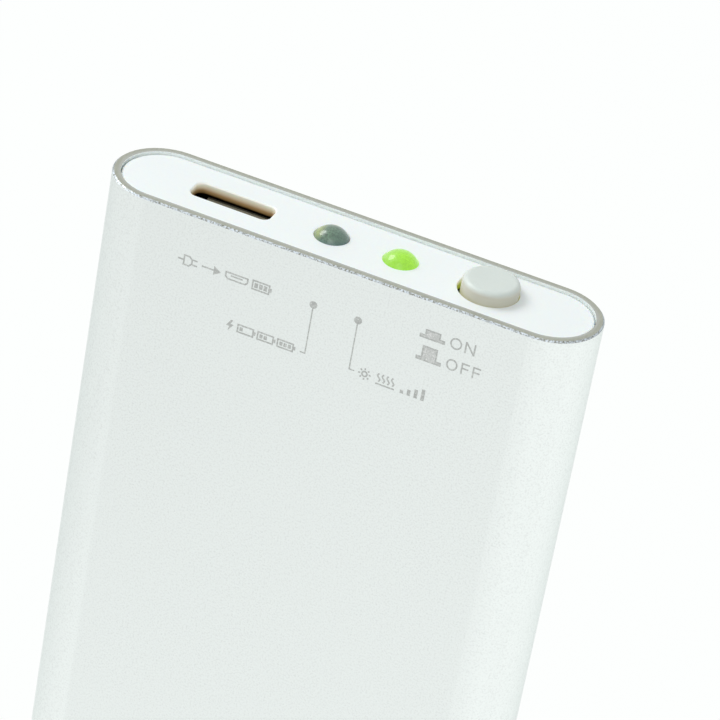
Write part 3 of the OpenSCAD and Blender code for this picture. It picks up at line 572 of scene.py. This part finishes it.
class Sheet:
    """Draws printed shapes on the sleeve's front, in the millimetres of the places given above."""

    def __init__(self, shape, sizes):
        self.shape = shape
        self.width = sizes.stroke / MM
        self.height = sizes.ink_height

    def real(self, points):
        """The same points on the model, in metres."""
        return [(x * MM, RIM + z * MM) for x, z in points]

    def fill(self, points, hole=None):
        """A filled shape, with a hole where one is given."""
        plate(self.shape, self.real(points), FRONT, self.height, hole and self.real(hole))

    def line(self, points, closed=False, width=None):
        """A line, as wide as the letters' strokes where no width is given."""
        stroke(self.shape, self.real(points), (width or self.width) * MM, FRONT, self.height, closed)

    def ring(self, x, z, radius, tall=1.0):
        """A round line, whose outside has that radius."""
        self.line(round_points(x, z, radius - self.width / 2, tall), closed=True)

    def battery(self, x, z, wide, tall, bars):
        """A lying battery with that many of its three bars of charge."""
        nub = 0.16
        gap = 0.1
        half = self.width / 2
        body = wide - nub
        self.line(box_points(x + half, z + half, x + body - half, z + tall - half), closed=True)
        self.fill(box_points(x + body, z + tall * 0.3, x + wide, z + tall * 0.7))
        pitch = (body - 2 * self.width - gap) / 3
        for i in range(bars):
            left = x + self.width + gap + i * pitch
            self.fill(box_points(left, z + self.width + gap, left + pitch - gap, z + tall - self.width - gap))

    def bolt(self, x, z, wide, tall):
        """A lightning bolt."""
        outline = [(0.55, 1.0), (0.0, 0.42), (0.42, 0.42), (0.3, 0.0), (1.0, 0.62), (0.55, 0.62), (0.85, 1.0)]
        self.fill([(x + u * wide, z + v * tall) for u, v in outline])

    def arrow(self, x, z, wide, tall):
        """An arrow that points to the right."""
        half = self.width / 2
        middle = z + tall / 2
        tip = x + wide
        head = tip - tall * 0.55
        barb = tall * 0.36
        self.fill([(x, middle - half), (head, middle - half), (head, middle - barb), (tip, middle),
                   (head, middle + barb), (head, middle + half), (x, middle + half)])

    def wave(self, x, z, tall):
        """One wavy line of rising warmth."""
        swing = 0.12
        steps = 12
        self.line([(x + swing * math.sin(math.tau * i / steps), z + tall * i / steps)
                   for i in range(steps + 1)])

    def letter_n(self, x, z, wide, tall):
        """A capital N, whose slanting stroke is a little wider and runs from corner to corner."""
        w = self.width
        slant = w * 1.25
        cut = slant * 1.35
        self.fill([(x + u, z + v) for u, v in (
            (0, 0), (w, 0), (w, tall - cut), (wide - w, 0), (wide, 0), (wide, tall), (wide - w, tall),
            (wide - w, cut), (w, tall), (0, tall))])

    def letter_f(self, x, z, wide, tall):
        """A capital F, with its middle stroke a little above halfway."""
        w = self.width
        middle = tall * 0.52
        short = wide * 0.9
        self.fill([(x + u, z + v) for u, v in (
            (0, 0), (w, 0), (w, middle - w / 2), (short, middle - w / 2), (short, middle + w / 2),
            (w, middle + w / 2), (w, tall - w), (wide, tall - w), (wide, tall), (0, tall))])


def print_marks(name, draw, sizes, finish):
    """A printed piece, which draw puts on a sheet."""
    add_piece(name, lambda shape: draw(Sheet(shape, sizes)), finish)


# Pieces

class WARMER_OT_sleeve(Operator):
    """Blast the sleeve's skin and show the saw's marks on its cut ends"""
    bl_idname = "warmer.sleeve"
    bl_label = "Sleeve"

    def execute(self, context):
        look = context.scene.warmer_finish
        f = Finish("blasted aluminium")
        # The skin: blasted pits over slow clouds
        grain = f.noise(look.grain, 3.0, 0.7)
        pits = f.cells(look.grain * 1.6)
        cloud = f.noise(0.02, 2.0)
        skin = f.grade(grain, 0.24, 0.53, shade(look.metal, 0.82), look.metal)
        skin = f.grade(cloud, 0.3, 0.7, skin, shade(look.metal, 0.985), 0.3)
        # The cut ends: lines of the saw, and another tone towards the inside
        across = f.across()
        lines = f.noise(0.0009, 4.0, 0.75, (9, 1, 1))
        sawn = f.grade(lines, 0.35, 0.65, shade(look.cut_metal, 0.88), shade(look.cut_metal, 1.1))
        sawn = f.mix(f.through_wall(across, 0.56, 0.38), look.cut_inner, sawn)
        # The chamfers: one tone inside, one outside, partly the metal and partly painted reflection, bluish
        # like the sky and lighter on the inner one, with dark nicks mostly on the outer one
        outer = f.through_wall(across, 0.45, 0.3)
        edge = f.mix(outer, look.inner_edge_with_painted_sky, look.outer_edge_with_painted_sky)
        nicks = f.remap(f.noise(0.00016, 2.0, 0.7), 0.56, 0.40)
        nicks = f.both(nicks, f.remap(outer, 0.0, 1.0, 0.3, 1.0))
        edge = f.mix(nicks, edge, shade(look.cut_metal, 0.5))
        # Each where the surface tilts that much
        tilt = f.slope("Z")
        tone = f.grade(tilt, 0.3, 0.45, skin, edge)
        tone = f.grade(tilt, 0.88, 0.95, tone, sawn)
        f.surface(Base_Color=tone, Metallic=f.through_wall(across, 0.68, 0.5, 0.4, 1.0),
                  Roughness=f.remap(grain, 0.3, 0.7, 0.40, 0.50), Specular_Tint=look.edge_tint,
                  Normal=f.bump(grain, 0.000022, 0.85, f.bump(pits, 0.000015, 0.5)))
        dress("sleeve", f)
        return {"FINISHED"}


class WARMER_OT_caps(Operator):
    """Mould both end caps in white plastic, with painted shade on the hole walls that darkens with depth"""
    bl_idname = "warmer.caps"
    bl_label = "End Caps"

    def execute(self, context):
        look = context.scene.warmer_finish
        for name in ("top_cap", "bottom_cap"):
            f = moulded(name.replace("_", " ") + " plastic", look.cap, 0.4, 0.00022, 0.000003,
                        Subsurface_Weight=0.25, Subsurface_Radius=(1.0, 0.75, 0.5), Subsurface_Scale=0.0003)
            if name == "top_cap":
                self.hole_walls(f, look)
            dress(name, f, 0.04)
        return {"FINISHED"}

    def hole_walls(self, f, look):
        """Paints shade on the holes' walls, from cream to brown with depth and black behind the charging
        slot, and paints a glow of the warming light that leaks into the button's hole."""
        white = f.shader.inputs["Base Color"].links[0].from_socket
        # The walls are upright and lie inside the cap's own rounded side
        upright = f.remap(f.slope("Z"), 0.9, 0.5)
        inside = f.remap(f.across(), 3.3 * MM, 3.1 * MM)
        wall = f.both(upright, inside)
        depth = f.remap(f.axis("Z"), CAP_FACE, CAP_FACE - PLATE)
        # Painted shade: the walls turn from cream to brown with depth
        tone = f.mix(wall, white, f.ramp(depth, (
            (0.0, look.cap), (0.25, look.painted_wall_shade_cream), (0.5, look.painted_wall_shade_tan), (0.72, look.painted_wall_shade_amber),
            (0.86, shade(look.painted_wall_shade_amber, 0.7)), (0.97, look.painted_wall_shade_brown))))
        # Painted shade: the walls below the plate near the charging port are painted near-black
        below = f.remap(f.axis("Z"), CAP_FACE - PLATE - 0.02 * MM, CAP_FACE - PLATE - 0.15 * MM)
        from_port = f.reckon("ABSOLUTE", f.reckon("SUBTRACT", f.axis("X"), PORT_X))
        by_port = f.remap(from_port, 6.5 * MM, 5.0 * MM)
        tone = f.mix(f.both(f.both(wall, below), by_port), tone, PAINTED_PORT_SHADE)
        # Painted glow: emission where light seeps through the white at the holes' mouths, and where the
        # warming light leaks into the button's hole
        painted_seep_glow = f.mix(wall, BLACK, f.ramp(depth, ((0.0, look.painted_seep_glow), (0.5, BLACK))))
        # Painted glow of the warming light, deep in the button's hole
        by_button = f.remap(f.axis("X"), LIGHT_END, LIGHT_END + 1.0 * MM)
        deep = f.both(f.remap(depth, 0.1, 0.8, 0.0, 0.5), f.remap(below, 1.0, 0.0))
        painted_leak_glow = f.both(f.both(wall, by_button), deep)
        f.surface(Base_Color=tone, Emission_Color=f.mix(painted_leak_glow, painted_seep_glow, look.painted_leak_glow), Emission_Strength=1.0)


class WARMER_OT_button(Operator):
    """Mould the grey push button and the stem that carries it"""
    bl_idname = "warmer.button"
    bl_label = "Button"

    def execute(self, context):
        look = context.scene.warmer_finish
        f = moulded("button plastic", look.button, 0.38, 0.0003, 0.000003, 0.004,
                    Subsurface_Weight=0.15, Subsurface_Radius=(1.0, 0.85, 0.7), Subsurface_Scale=0.0006)
        top = f.shader.inputs["Base Color"].links[0].from_socket
        # Painted shade: faces that turn from the top to the side take the darker side tone
        f.surface(Base_Color=f.grade(f.slope("Z"), 0.75, 0.15, top, look.button_side_painted_shade))
        dress("power_button", f)
        dress("switch_stem", moulded("stem plastic", STEM_BLACK, 0.35, 0.0002), 0.05)
        return {"FINISHED"}


class WARMER_OT_switch(Operator):
    """Finish the latching switch under the button"""
    bl_idname = "warmer.switch"
    bl_label = "Switch"

    def execute(self, context):
        dress("switch_housing", moulded("switch plastic", SWITCH_BLACK, 0.4, 0.00018), 0.06)
        wire = wire_metal("spring wire", 0.25)
        dress_wires("latch_pin", wire)
        self.spring(wire)
        dress("contact_bridges", wire_metal("brass", 0.25), 0.03)
        dress("switch_legs", wire_metal("tinned legs", 0.3), 0.02)
        return {"FINISHED"}

    def spring(self, wire):
        """The coil again, as a copy that stands in for the model's spring, which is hidden."""
        coil = add_object("coil_spring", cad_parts["switch_spring"].data.copy())
        paint(coil, wire)
        soften(coil, 0.0, WIRE_CREASE)
        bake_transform(coil)
        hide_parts("switch_spring")


class WARMER_OT_connector(Operator):
    """Plate the connector's shell and finish its tongue and contacts"""
    bl_idname = "warmer.connector"
    bl_label = "Charging Connector"

    def execute(self, context):
        f = wire_metal("nickel shell", 0.42, (60, 60, 6))
        plated = f.shader.inputs["Base Color"].links[0].from_socket
        # Painted shade: faces that look up or down go dark, as the shell's mouth lies in shade
        f.surface(Base_Color=f.grade(f.slope("Z"), 0.5, 0.9, plated, SHELL_MOUTH_PAINTED_SHADE), Metallic=0.75)
        dress("usb_shell", f)
        dress("usb_insulator", moulded("connector plastic", CONNECTOR_BLACK, 0.45, 0.00015), 0.03)
        dress("usb_contacts", wire_metal("gilt contacts", 0.2), 0.02)
        return {"FINISHED"}


class WARMER_OT_lights(Operator):
    """Cast the two lenses, one clear green and off, the other lit"""
    bl_idname = "warmer.lights"
    bl_label = "Lights"

    def execute(self, context):
        look = context.scene.warmer_finish
        off = self.lens("charging lens", 1.0)
        facing = off.axis("X", "Normal")
        haze = off.noise(0.00022, 3.0, 0.8)
        tone = off.grade(haze, 0.35, 0.65, shade(look.unlit_lens, 0.5), shade(look.unlit_lens, 1.5))
        # Painted shade: the side that faces right is darker teal
        tone = off.grade(facing, 0.0, 0.5, tone, UNLIT_RIGHT_PAINTED_SHADE, 0.55)
        # Painted light: the side that faces left, towards the key lamp, is lighter yellow-green
        tone = off.grade(facing, -0.25, -0.6, tone, look.unlit_lens_painted_lit_side)
        # Painted shadow: the lens darkens at its foot, next to the cap
        foot = off.remap(off.axis("Z"), CAP_FACE + 0.28 * MM, CAP_FACE + 0.05 * MM, 0.0, 0.45)
        tone = off.mix(foot, tone, UNLIT_FOOT_PAINTED_SHADOW)
        # Painted shade: the side that faces back is darker
        back = off.remap(off.axis("Y", "Normal"), 0.15, 0.6, 0.0, 0.35)
        off.surface(Base_Color=off.mix(back, tone, shade(look.unlit_lens, 0.6)))
        dress("charging_led", off)

        on = self.lens("warming lens", 0.75)
        haze = on.noise(0.00022, 3.0, 0.8)
        tone = on.grade(haze, 0.35, 0.65, shade(look.lit_lens, 0.78), shade(look.lit_lens, 1.16))
        # Painted light and shade on the glow: paler where it faces left, deeper green where it faces the
        # front
        tone = on.grade(on.axis("X", "Normal"), 0.1, -0.7, tone, LIT_LEFT_PAINTED_LIGHT, 0.5)
        tone = on.grade(on.axis("Y", "Normal"), -0.2, -0.7, tone, LIT_FRONT_PAINTED_SHADE, 0.4)
        on.surface(Base_Color=shade(look.lit_lens, 0.35), Emission_Color=tone, Emission_Strength=look.glow)
        dress("warming_led", on)
        leads = wire_metal("tinned leads")
        dress("charging_led_leads warming_led_leads", leads, 0.03)
        return {"FINISHED"}

    def lens(self, name, gloss):
        """Cast resin with a finely pitted skin that breaks up its highlights."""
        f = Finish(name, IOR=1.52, Specular_IOR_Level=0.35, Coat_Weight=gloss, Coat_IOR=1.5)
        pits = f.noise(0.00018, 2.0, 0.8)
        swell = f.noise(0.0007, 2.0, 0.5)
        f.surface(Roughness=f.remap(pits, 0.3, 0.7, 0.3, 0.45), Coat_Roughness=0.17,
                  Normal=f.bump(pits, 0.00009, 1.0, f.bump(swell, 0.00014, 1.0)))
        return f


class WARMER_OT_board(Operator):
    """Finish the circuit board and everything on it"""
    bl_idname = "warmer.board"
    bl_label = "Circuit Board"

    def execute(self, context):
        f = Finish("green board", Coat_Weight=0.25, Coat_Roughness=0.2)
        weave = f.both(f.bands(0.0004, "X"), f.bands(0.0004, "Z"))
        copper = f.remap(f.cells(0.0022, "DISTANCE_TO_EDGE"), 0.05, 0.07)
        tone = f.grade(weave, 0.2, 0.9, f.mix(copper, BOARD_MASK, BOARD_COPPER), BOARD_WEAVE, 0.3)
        tone = f.grade(f.slope("Y"), 0.5, 0.4, tone, BOARD_EDGE)
        f.surface(Base_Color=tone, Roughness=f.remap(weave, 0.0, 1.0, 0.3, 0.42),
                  Normal=f.bump(copper, 0.00003, 0.5))
        dress("circuit_board protection_board", f, 0.03)

        epoxy = moulded("chip epoxy", CHIP_BLACK, 0.5, 0.00012, 0.000005, 0.003)
        dress("charge_chip control_chip power_transistors chip_resistors", epoxy, 0.05)
        dress("chip_legs", wire_metal("chip legs", 0.3), 0.02)
        dress("power_inductor", moulded("ferrite", FERRITE, 0.65, 0.0001, 0.00002, 0.002), 0.08)
        clay = moulded("capacitor clay", CAPACITOR_CLAY, 0.55, 0.0001, 0.00001, 0.002)
        dress("chip_capacitors", clay, 0.05)
        dress("board_screws", wire_metal("screw zinc"), 0.04)

        add_piece("chip_terminals", self.terminals, wire_metal("solder", 0.22))
        white = moulded("board paint", BOARD_PAINT, 0.6, 0.0001)
        add_piece("board_outlines", self.outlines, white)
        return {"FINISHED"}

    def terminals(self, shape):
        """Solder ends round every small chip, at both ends of its longer side."""
        lip = 0.03 * MM
        share = 0.26
        for name in ("chip_capacitors", "chip_resistors"):
            for low, high in solids_of(name):
                long_x = high.x - low.x > high.z - low.z
                reach = share * (high.x - low.x if long_x else high.z - low.z)
                for far in (False, True):
                    a = low - Vector((lip, lip, lip))
                    b = high + Vector((lip, 0, lip))
                    if long_x:
                        a.x, b.x = (high.x - reach, b.x) if far else (a.x, low.x + reach)
                    else:
                        a.z, b.z = (high.z - reach, b.z) if far else (a.z, low.z + reach)
                    self.end_cap(shape, a, b, long_x)

    def end_cap(self, shape, a, b, long_x):
        """A rounded cap of solder that widens towards the board."""
        foot = 0.07 * MM
        tall = b.y - a.y
        rows = [(a.y, -foot * 0.5), (a.y + tall * 0.18, 0.0), (a.y + tall * 0.7, 0.0), (b.y, foot)]
        rings = []
        for y, out in rows:
            dx = out if long_x else out * 0.5
            dz = out * 0.5 if long_x else out
            rings.append([shape.verts.new((x, y, z)) for x, z in
                          box_points(a.x - dx, a.z - dz, b.x + dx, b.z + dz)])
        for upper, lower in zip(rings, rings[1:]):
            join_rings(shape, upper, lower)
        shape.faces.new(rings[0])
        shape.faces.new(rings[-1])

    def outlines(self, shape):
        """Painted lines on the board round the larger parts, clear of the chips' legs on both sides."""
        margin = 0.35 * MM
        past_legs = 1.3 * MM
        for name in ("charge_chip", "control_chip", "power_inductor"):
            low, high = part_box(name)
            beside = margin if name == "power_inductor" else past_legs
            points = box_points(low.x - beside, low.z - margin, high.x + beside, high.z + margin)
            stroke(shape, points, 0.15 * MM, BOARD_FACE, 0.02 * MM, closed=True)


class WARMER_OT_battery(Operator):
    """Finish the pouch cell, its tabs and its wires"""
    bl_idname = "warmer.battery"
    bl_label = "Battery"

    def execute(self, context):
        f = Finish("pouch foil", Metallic=0.85, Coat_Weight=0.4, Coat_Roughness=0.25)
        crumple = f.noise(0.006, 3.0, 0.6)
        fine = f.noise(0.0008, 3.0, 0.6)
        tone = f.grade(crumple, 0.35, 0.65, POUCH_DARK, POUCH_LIGHT)
        f.surface(Base_Color=tone, Roughness=f.remap(fine, 0.3, 0.7, 0.3, 0.42),
                  Normal=f.bump(crumple, 0.0002, 0.5, f.bump(fine, 0.00002, 0.4)))
        dress("battery_cell", f, 0.1)
        dress("battery_tabs", wire_metal("nickel tabs", 0.3), 0.02)
        dress_wires("red_battery_lead", insulation("red covering"))
        dress_wires("black_battery_lead", insulation("black covering"))
        return {"FINISHED"}


class WARMER_OT_heaters(Operator):
    """Finish the film heaters, the foam behind them and the thermistor"""
    bl_idname = "warmer.heaters"
    bl_label = "Heaters"

    def execute(self, context):
        f = Finish("amber film", Coat_Weight=0.5, Coat_Roughness=0.15, Transmission_Weight=0.25, IOR=1.5)
        ripple = f.noise(0.004, 2.0)
        tone = f.grade(ripple, 0.3, 0.7, AMBER_DARK, AMBER_LIGHT)
        f.surface(Base_Color=tone, Roughness=f.remap(ripple, 0.3, 0.7, 0.2, 0.35),
                  Normal=f.bump(ripple, 0.00004, 0.4))
        dress("front_heater_film rear_heater_film", f)
        foil = wire_metal("etched foil", 0.35, (3, 3, 3))
        dress("front_heater_track rear_heater_track", foil)
        dress_wires("front_heater_leads rear_heater_leads", insulation("white covering"))

        foam = Finish("grey foam", Roughness=0.92, Specular_IOR_Level=0.2, Sheen_Weight=0.3)
        pores = foam.cells(0.0006)
        # Painted shade: the pores are darker towards their middles
        tone = foam.grade(pores, 0.1, 0.7, FOAM_PORE_PAINTED_SHADE, FOAM_SKIN)
        foam.surface(Base_Color=tone, Normal=foam.bump(pores, 0.0003, 0.8))
        dress("front_foam_pad rear_foam_pad", foam, 0.15)

        dress("thermistor", moulded("bead epoxy", BEAD_EPOXY, 0.25, 0.0003, 0.00001, 0.001, Coat_Weight=0.5))
        dress_wires("thermistor_leads", wire_metal("thermistor wire", 0.3))
        return {"FINISHED"}


class WARMER_OT_carrier(Operator):
    """Mould the carrier that holds the battery and the board"""
    bl_idname = "warmer.carrier"
    bl_label = "Inner Frame"

    def execute(self, context):
        dress("inner_frame", moulded("carrier plastic", CARRIER_GREY, 0.5, 0.0003, 0.000006), 0.08)
        return {"FINISHED"}


def ink(name, tone):
    """Matt printing ink with thin spots where the metal's grain shows through."""
    f = Finish(name, Specular_IOR_Level=0.3)
    thin = f.noise(0.00012, 3.0, 0.75)
    f.surface(Base_Color=f.grade(thin, 0.45, 0.72, tone, shade(tone, 1.7)),
              Roughness=f.remap(thin, 0.3, 0.7, 0.55, 0.75), Normal=f.bump(thin, 0.000004, 0.5))
    return f


class WARMER_OT_leaders(Operator):
    """Print a dot under each light and the line that leads down from it"""
    bl_idname = "warmer.leaders"
    bl_label = "Dots and Leaders"

    def execute(self, context):
        look = context.scene.warmer_finish
        sizes = context.scene.warmer_print
        dark = ink("leader ink", look.ink)

        radius = sizes.dot / MM / 2
        wide = sizes.leader / MM

        def leaders(sheet):
            for x, z, foot, side in DOTS:
                sheet.fill(round_points(x, z, radius))
                sheet.line([(x, z - radius), (x, foot), (x + side * LEADER_TURN, foot)], width=wide)

        print_marks("leader_marks", leaders, sizes, dark)
        return {"FINISHED"}


class WARMER_OT_switch_signs(Operator):
    """Print ON and OFF, each beside a sign of the button pressed in or out"""
    bl_idname = "warmer.switch_signs"
    bl_label = "Switch Signs"

    def execute(self, context):
        look = context.scene.warmer_finish
        sizes = context.scene.warmer_print
        dark = ink("sign ink", look.ink)
        hatch = ink("hatched ink", shade(look.ink, 1.25))

        def hats(sheet):
            """The outline of each sign, a button on its plate, and the inner edge of its rim."""
            (foot_left, foot_right), (left, right) = SIGN_FOOT, SIGN_TOP
            for top, shoulder, foot in SIGN_HEIGHTS:
                hat = [(foot_left, foot), (foot_right, foot), (foot_right, shoulder), (right, shoulder),
                       (right, top), (left, top), (left, shoulder), (foot_left, shoulder)]
                edges = stroke_edges(hat, sheet.width * 2, True)
                yield hat, min(edges, key=lambda edge: max(z for _, z in edge))

        def rims(sheet):
            for hat, inner in hats(sheet):
                sheet.fill(hat, inner)

        def fills(sheet):
            for _, inner in hats(sheet):
                sheet.fill(inner)

        def letters(sheet):
            for place in ROUND_LETTERS:
                sheet.ring(*place)
            sheet.letter_n(*LETTER_N)
            for place in LETTERS_F:
                sheet.letter_f(*place)

        print_marks("switch_sign_rims", rims, sizes, dark)
        print_marks("switch_sign_fills", fills, sizes, hatch)
        print_marks("switch_letters", letters, sizes, dark)
        return {"FINISHED"}


class WARMER_OT_icons(Operator):
    """Print plain picture signs for charging and for warmth"""
    bl_idname = "warmer.icons"
    bl_label = "Picture Signs"

    def execute(self, context):
        look = context.scene.warmer_finish
        sizes = context.scene.warmer_print
        dark = ink("icon ink", look.ink)
        print_marks("charge_input_sign", self.charge_input, sizes, dark)
        print_marks("charging_sign", self.charging, sizes, dark)
        print_marks("warming_sign", self.warming, sizes, dark)
        return {"FINISHED"}

    def charge_input(self, sheet):
        """A plug, an arrow, the charging slot and a battery in one row."""
        low, tall = INPUT_ROW
        middle = low + tall / 2
        half = sheet.width / 2
        # The plug: its cord, its body with two cut corners, and its two pins
        cord = -13.56
        body = cord + 0.5 + half
        shoulder = cord + 1.05
        face = cord + 1.3
        sheet.line([(cord, middle), (cord + 0.5, middle)])
        sheet.line([(body, low + 0.15), (shoulder, low + 0.15), (face, low + 0.4),
                    (face, low + tall - 0.4), (shoulder, low + tall - 0.15),
                    (body, low + tall - 0.15)], closed=True)
        for z in (middle - 0.24, middle + 0.24):
            sheet.fill(box_points(face + half, z - half, cord + 1.8, z + half))
        sheet.arrow(-11.35, low, 1.75, tall)
        # The slot, and the tongue in it
        left, right, cut = -9.15, -7.15, 0.2
        sheet.line([(left + cut, middle - 0.3), (right - cut, middle - 0.3), (right, middle - 0.1),
                    (right, middle + 0.3), (left, middle + 0.3), (left, middle - 0.1)], closed=True)
        sheet.fill(box_points(-8.7, middle - 0.02, -7.6, middle + 0.12))
        sheet.battery(-6.75, low + 0.12, 1.81, tall - 0.24, 3)

    def charging(self, sheet):
        """A bolt and a battery that fills up in three steps."""
        low, tall = CHARGING_ROW
        sheet.bolt(-8.39, low, 0.66, tall)
        for i in range(3):
            sheet.battery(-7.4 + i * 1.83, low + 0.12, 1.71, tall - 0.24, i + 1)

    def warming(self, sheet):
        """A sun, a plate with rising warmth, and bars of growing height."""
        low, tall = WARMING_ROW
        middle = low + tall / 2
        sun = 4.28
        rays = 8
        waves = bars = 4
        sheet.ring(sun, middle, 0.3)
        for i in range(rays):
            turn = math.tau * i / rays
            sheet.line([(sun + reach * math.cos(turn), middle + reach * math.sin(turn))
                        for reach in (0.38, 0.56)])
        for i in range(waves):
            sheet.wave(5.55 + i * 0.42, low + 0.3, tall - 0.3)
        sheet.fill(box_points(5.33, low, 7.03, low + sheet.width))
        for i in range(bars):
            left = 7.55 + i * 0.62
            sheet.fill(box_points(left, low, left + 0.3, low + tall * (i + 1.2) / 4.2))


class WARMER_OT_studio(Operator):
    """Lay a pale floor, light it softly and set the camera"""
    bl_idname = "warmer.studio"
    bl_label = "Studio"

    def execute(self, context):
        studio = context.scene.warmer_studio
        self.floor(studio)
        self.room(studio)
        self.lamp("key lamp", studio.key, 0.6, (-0.78, 0.12, 0.80))
        self.lamp("front fill", studio.fill, 0.9, (0.25, -0.9, 1.1))
        self.camera(studio)
        return {"FINISHED"}

    def floor(self, studio):
        """A pale floor that keeps the shadow and otherwise shows as white."""
        reach = 4.0
        shape = bmesh.new()
        bmesh.ops.create_grid(shape, x_segments=2, y_segments=2, size=reach)
        mesh = bpy.data.meshes.new("floor")
        shape.to_mesh(mesh)
        shape.free()
        f = Finish("pale floor", Base_Color=(0.93, 0.94, 0.935), Roughness=1.0, Specular_IOR_Level=0.0)
        glow = f.add("ShaderNodeEmission", {"Color": (0.985, 1.0, 0.992), "Strength": self.painted_reflection_tone(f)})
        share = f.both(f.seen_directly(), studio.floor_glow)
        mixed = f.add("ShaderNodeMixShader", {0: share, 1: f.shader.outputs[0], 2: glow.outputs[0]})
        f.tree.links.new(mixed.outputs[0], f.tree.nodes["Material Output"].inputs["Surface"])
        mesh.materials.append(f.material)
        floor = add_object("floor", mesh)

    def painted_reflection_tone(self, f):
        """The floor shows plain white to the camera. Only to reflected rays it is darker on the left and far
        in front: a painted reflection of shade, which metal mirrors.
        """
        beside = f.add("ShaderNodeMapRange", {"Value": f.axis("X"), "From Min": -0.115, "From Max": -0.04,
                                              "To Min": 0.86, "To Max": 1.0}, interpolation_type="SMOOTHSTEP")
        ahead = f.remap(f.axis("Y"), -0.06, -0.19, 1.0, 0.965)
        direct = f.add("ShaderNodeLightPath", {}).outputs["Is Camera Ray"]
        return f.reckon("MAXIMUM", f.both(beside.outputs[0], ahead), direct)

    def room(self, studio):
        """Soft light from all round, behind which the background is white."""
        world = bpy.data.worlds.new("room")
        world.use_nodes = True
        bpy.context.scene.world = world
        nodes = Nodes(world.node_tree)
        light = nodes.tree.nodes["Background"]
        nodes.feed(light.inputs["Color"], (0.985, 1.0, 0.995))
        strength = nodes.remap(nodes.seen_directly(), 0.0, 1.0, studio.room, 1.0)
        nodes.feed(light.inputs["Strength"], strength)

    def lamp(self, name, power, size, place):
        """A round lamp of that size, aimed at the rim."""
        data = bpy.data.lights.new(name, "AREA")
        data.shape = "DISK"
        data.size = size
        data.energy = power
        lamp = add_object(name, data)
        lamp.location = place
        aim = Vector((0, 0, RIM)) - Vector(place)
        lamp.rotation_euler = aim.to_track_quat("-Z", "Y").to_euler()

    def camera(self, studio):
        """The camera, aimed at the rim and then slid and rolled to the frame of the view."""
        data = bpy.data.cameras.new("camera")
        data.lens = studio.lens
        data.sensor_width = 36.0
        data.clip_start = 0.01
        camera = add_object("camera", data)
        turn, rise, roll = studio.azimuth, studio.elevation, studio.roll
        back = Vector((math.sin(turn) * math.cos(rise), -math.cos(turn) * math.cos(rise), math.sin(rise)))
        level = Vector((0, 0, 1)).cross(back).normalized()
        upright = back.cross(level)
        right = math.cos(roll) * level + math.sin(roll) * upright
        up = math.cos(roll) * upright - math.sin(roll) * level
        place = Vector((0, 0, RIM)) + back * studio.distance + right * studio.slide[0] + up * studio.slide[1]
        camera.matrix_world = Matrix.Translation(place) @ Matrix((right, up, back)).transposed().to_4x4()
        scene = bpy.context.scene
        scene.camera = camera
        scene.view_settings.view_transform = "Standard"


STEPS = (WARMER_OT_sleeve, WARMER_OT_caps, WARMER_OT_button, WARMER_OT_switch, WARMER_OT_connector,
         WARMER_OT_lights, WARMER_OT_board, WARMER_OT_battery, WARMER_OT_heaters, WARMER_OT_carrier,
         WARMER_OT_leaders, WARMER_OT_switch_signs, WARMER_OT_icons, WARMER_OT_studio)
GROUPS = {"warmer_finish": WARMER_PG_finish, "warmer_print": WARMER_PG_print,
          "warmer_studio": WARMER_PG_studio}


class WARMER_PT_panel(Panel):
    """The steps and the values that they use"""
    bl_label = "Hand Warmer"
    bl_space_type = "VIEW_3D"
    bl_region_type = "UI"
    bl_category = "Hand Warmer"

    def draw(self, context):
        for group_name in GROUPS:
            box = self.layout.box()
            group = getattr(context.scene, group_name)
            for name in group.__annotations__:
                box.prop(group, name)
        for step in STEPS:
            self.layout.operator(step.bl_idname)


def register():
    """Registers the values, the steps and the panel."""
    for group_name, group in GROUPS.items():
        bpy.utils.register_class(group)
        setattr(bpy.types.Scene, group_name, PointerProperty(type=group))
    for cls in (*STEPS, WARMER_PT_panel):
        bpy.utils.register_class(cls)


def unregister():
    """Takes them away again."""
    for cls in (WARMER_PT_panel, *reversed(STEPS)):
        bpy.utils.unregister_class(cls)
    for group_name, group in GROUPS.items():
        delattr(bpy.types.Scene, group_name)
        bpy.utils.unregister_class(group)


def main():
    """Runs every step in order."""
    register()
    for step in STEPS:
        getattr(bpy.ops.warmer, step.bl_idname.split(".")[1])()


if __name__ == "__main__":
    main()
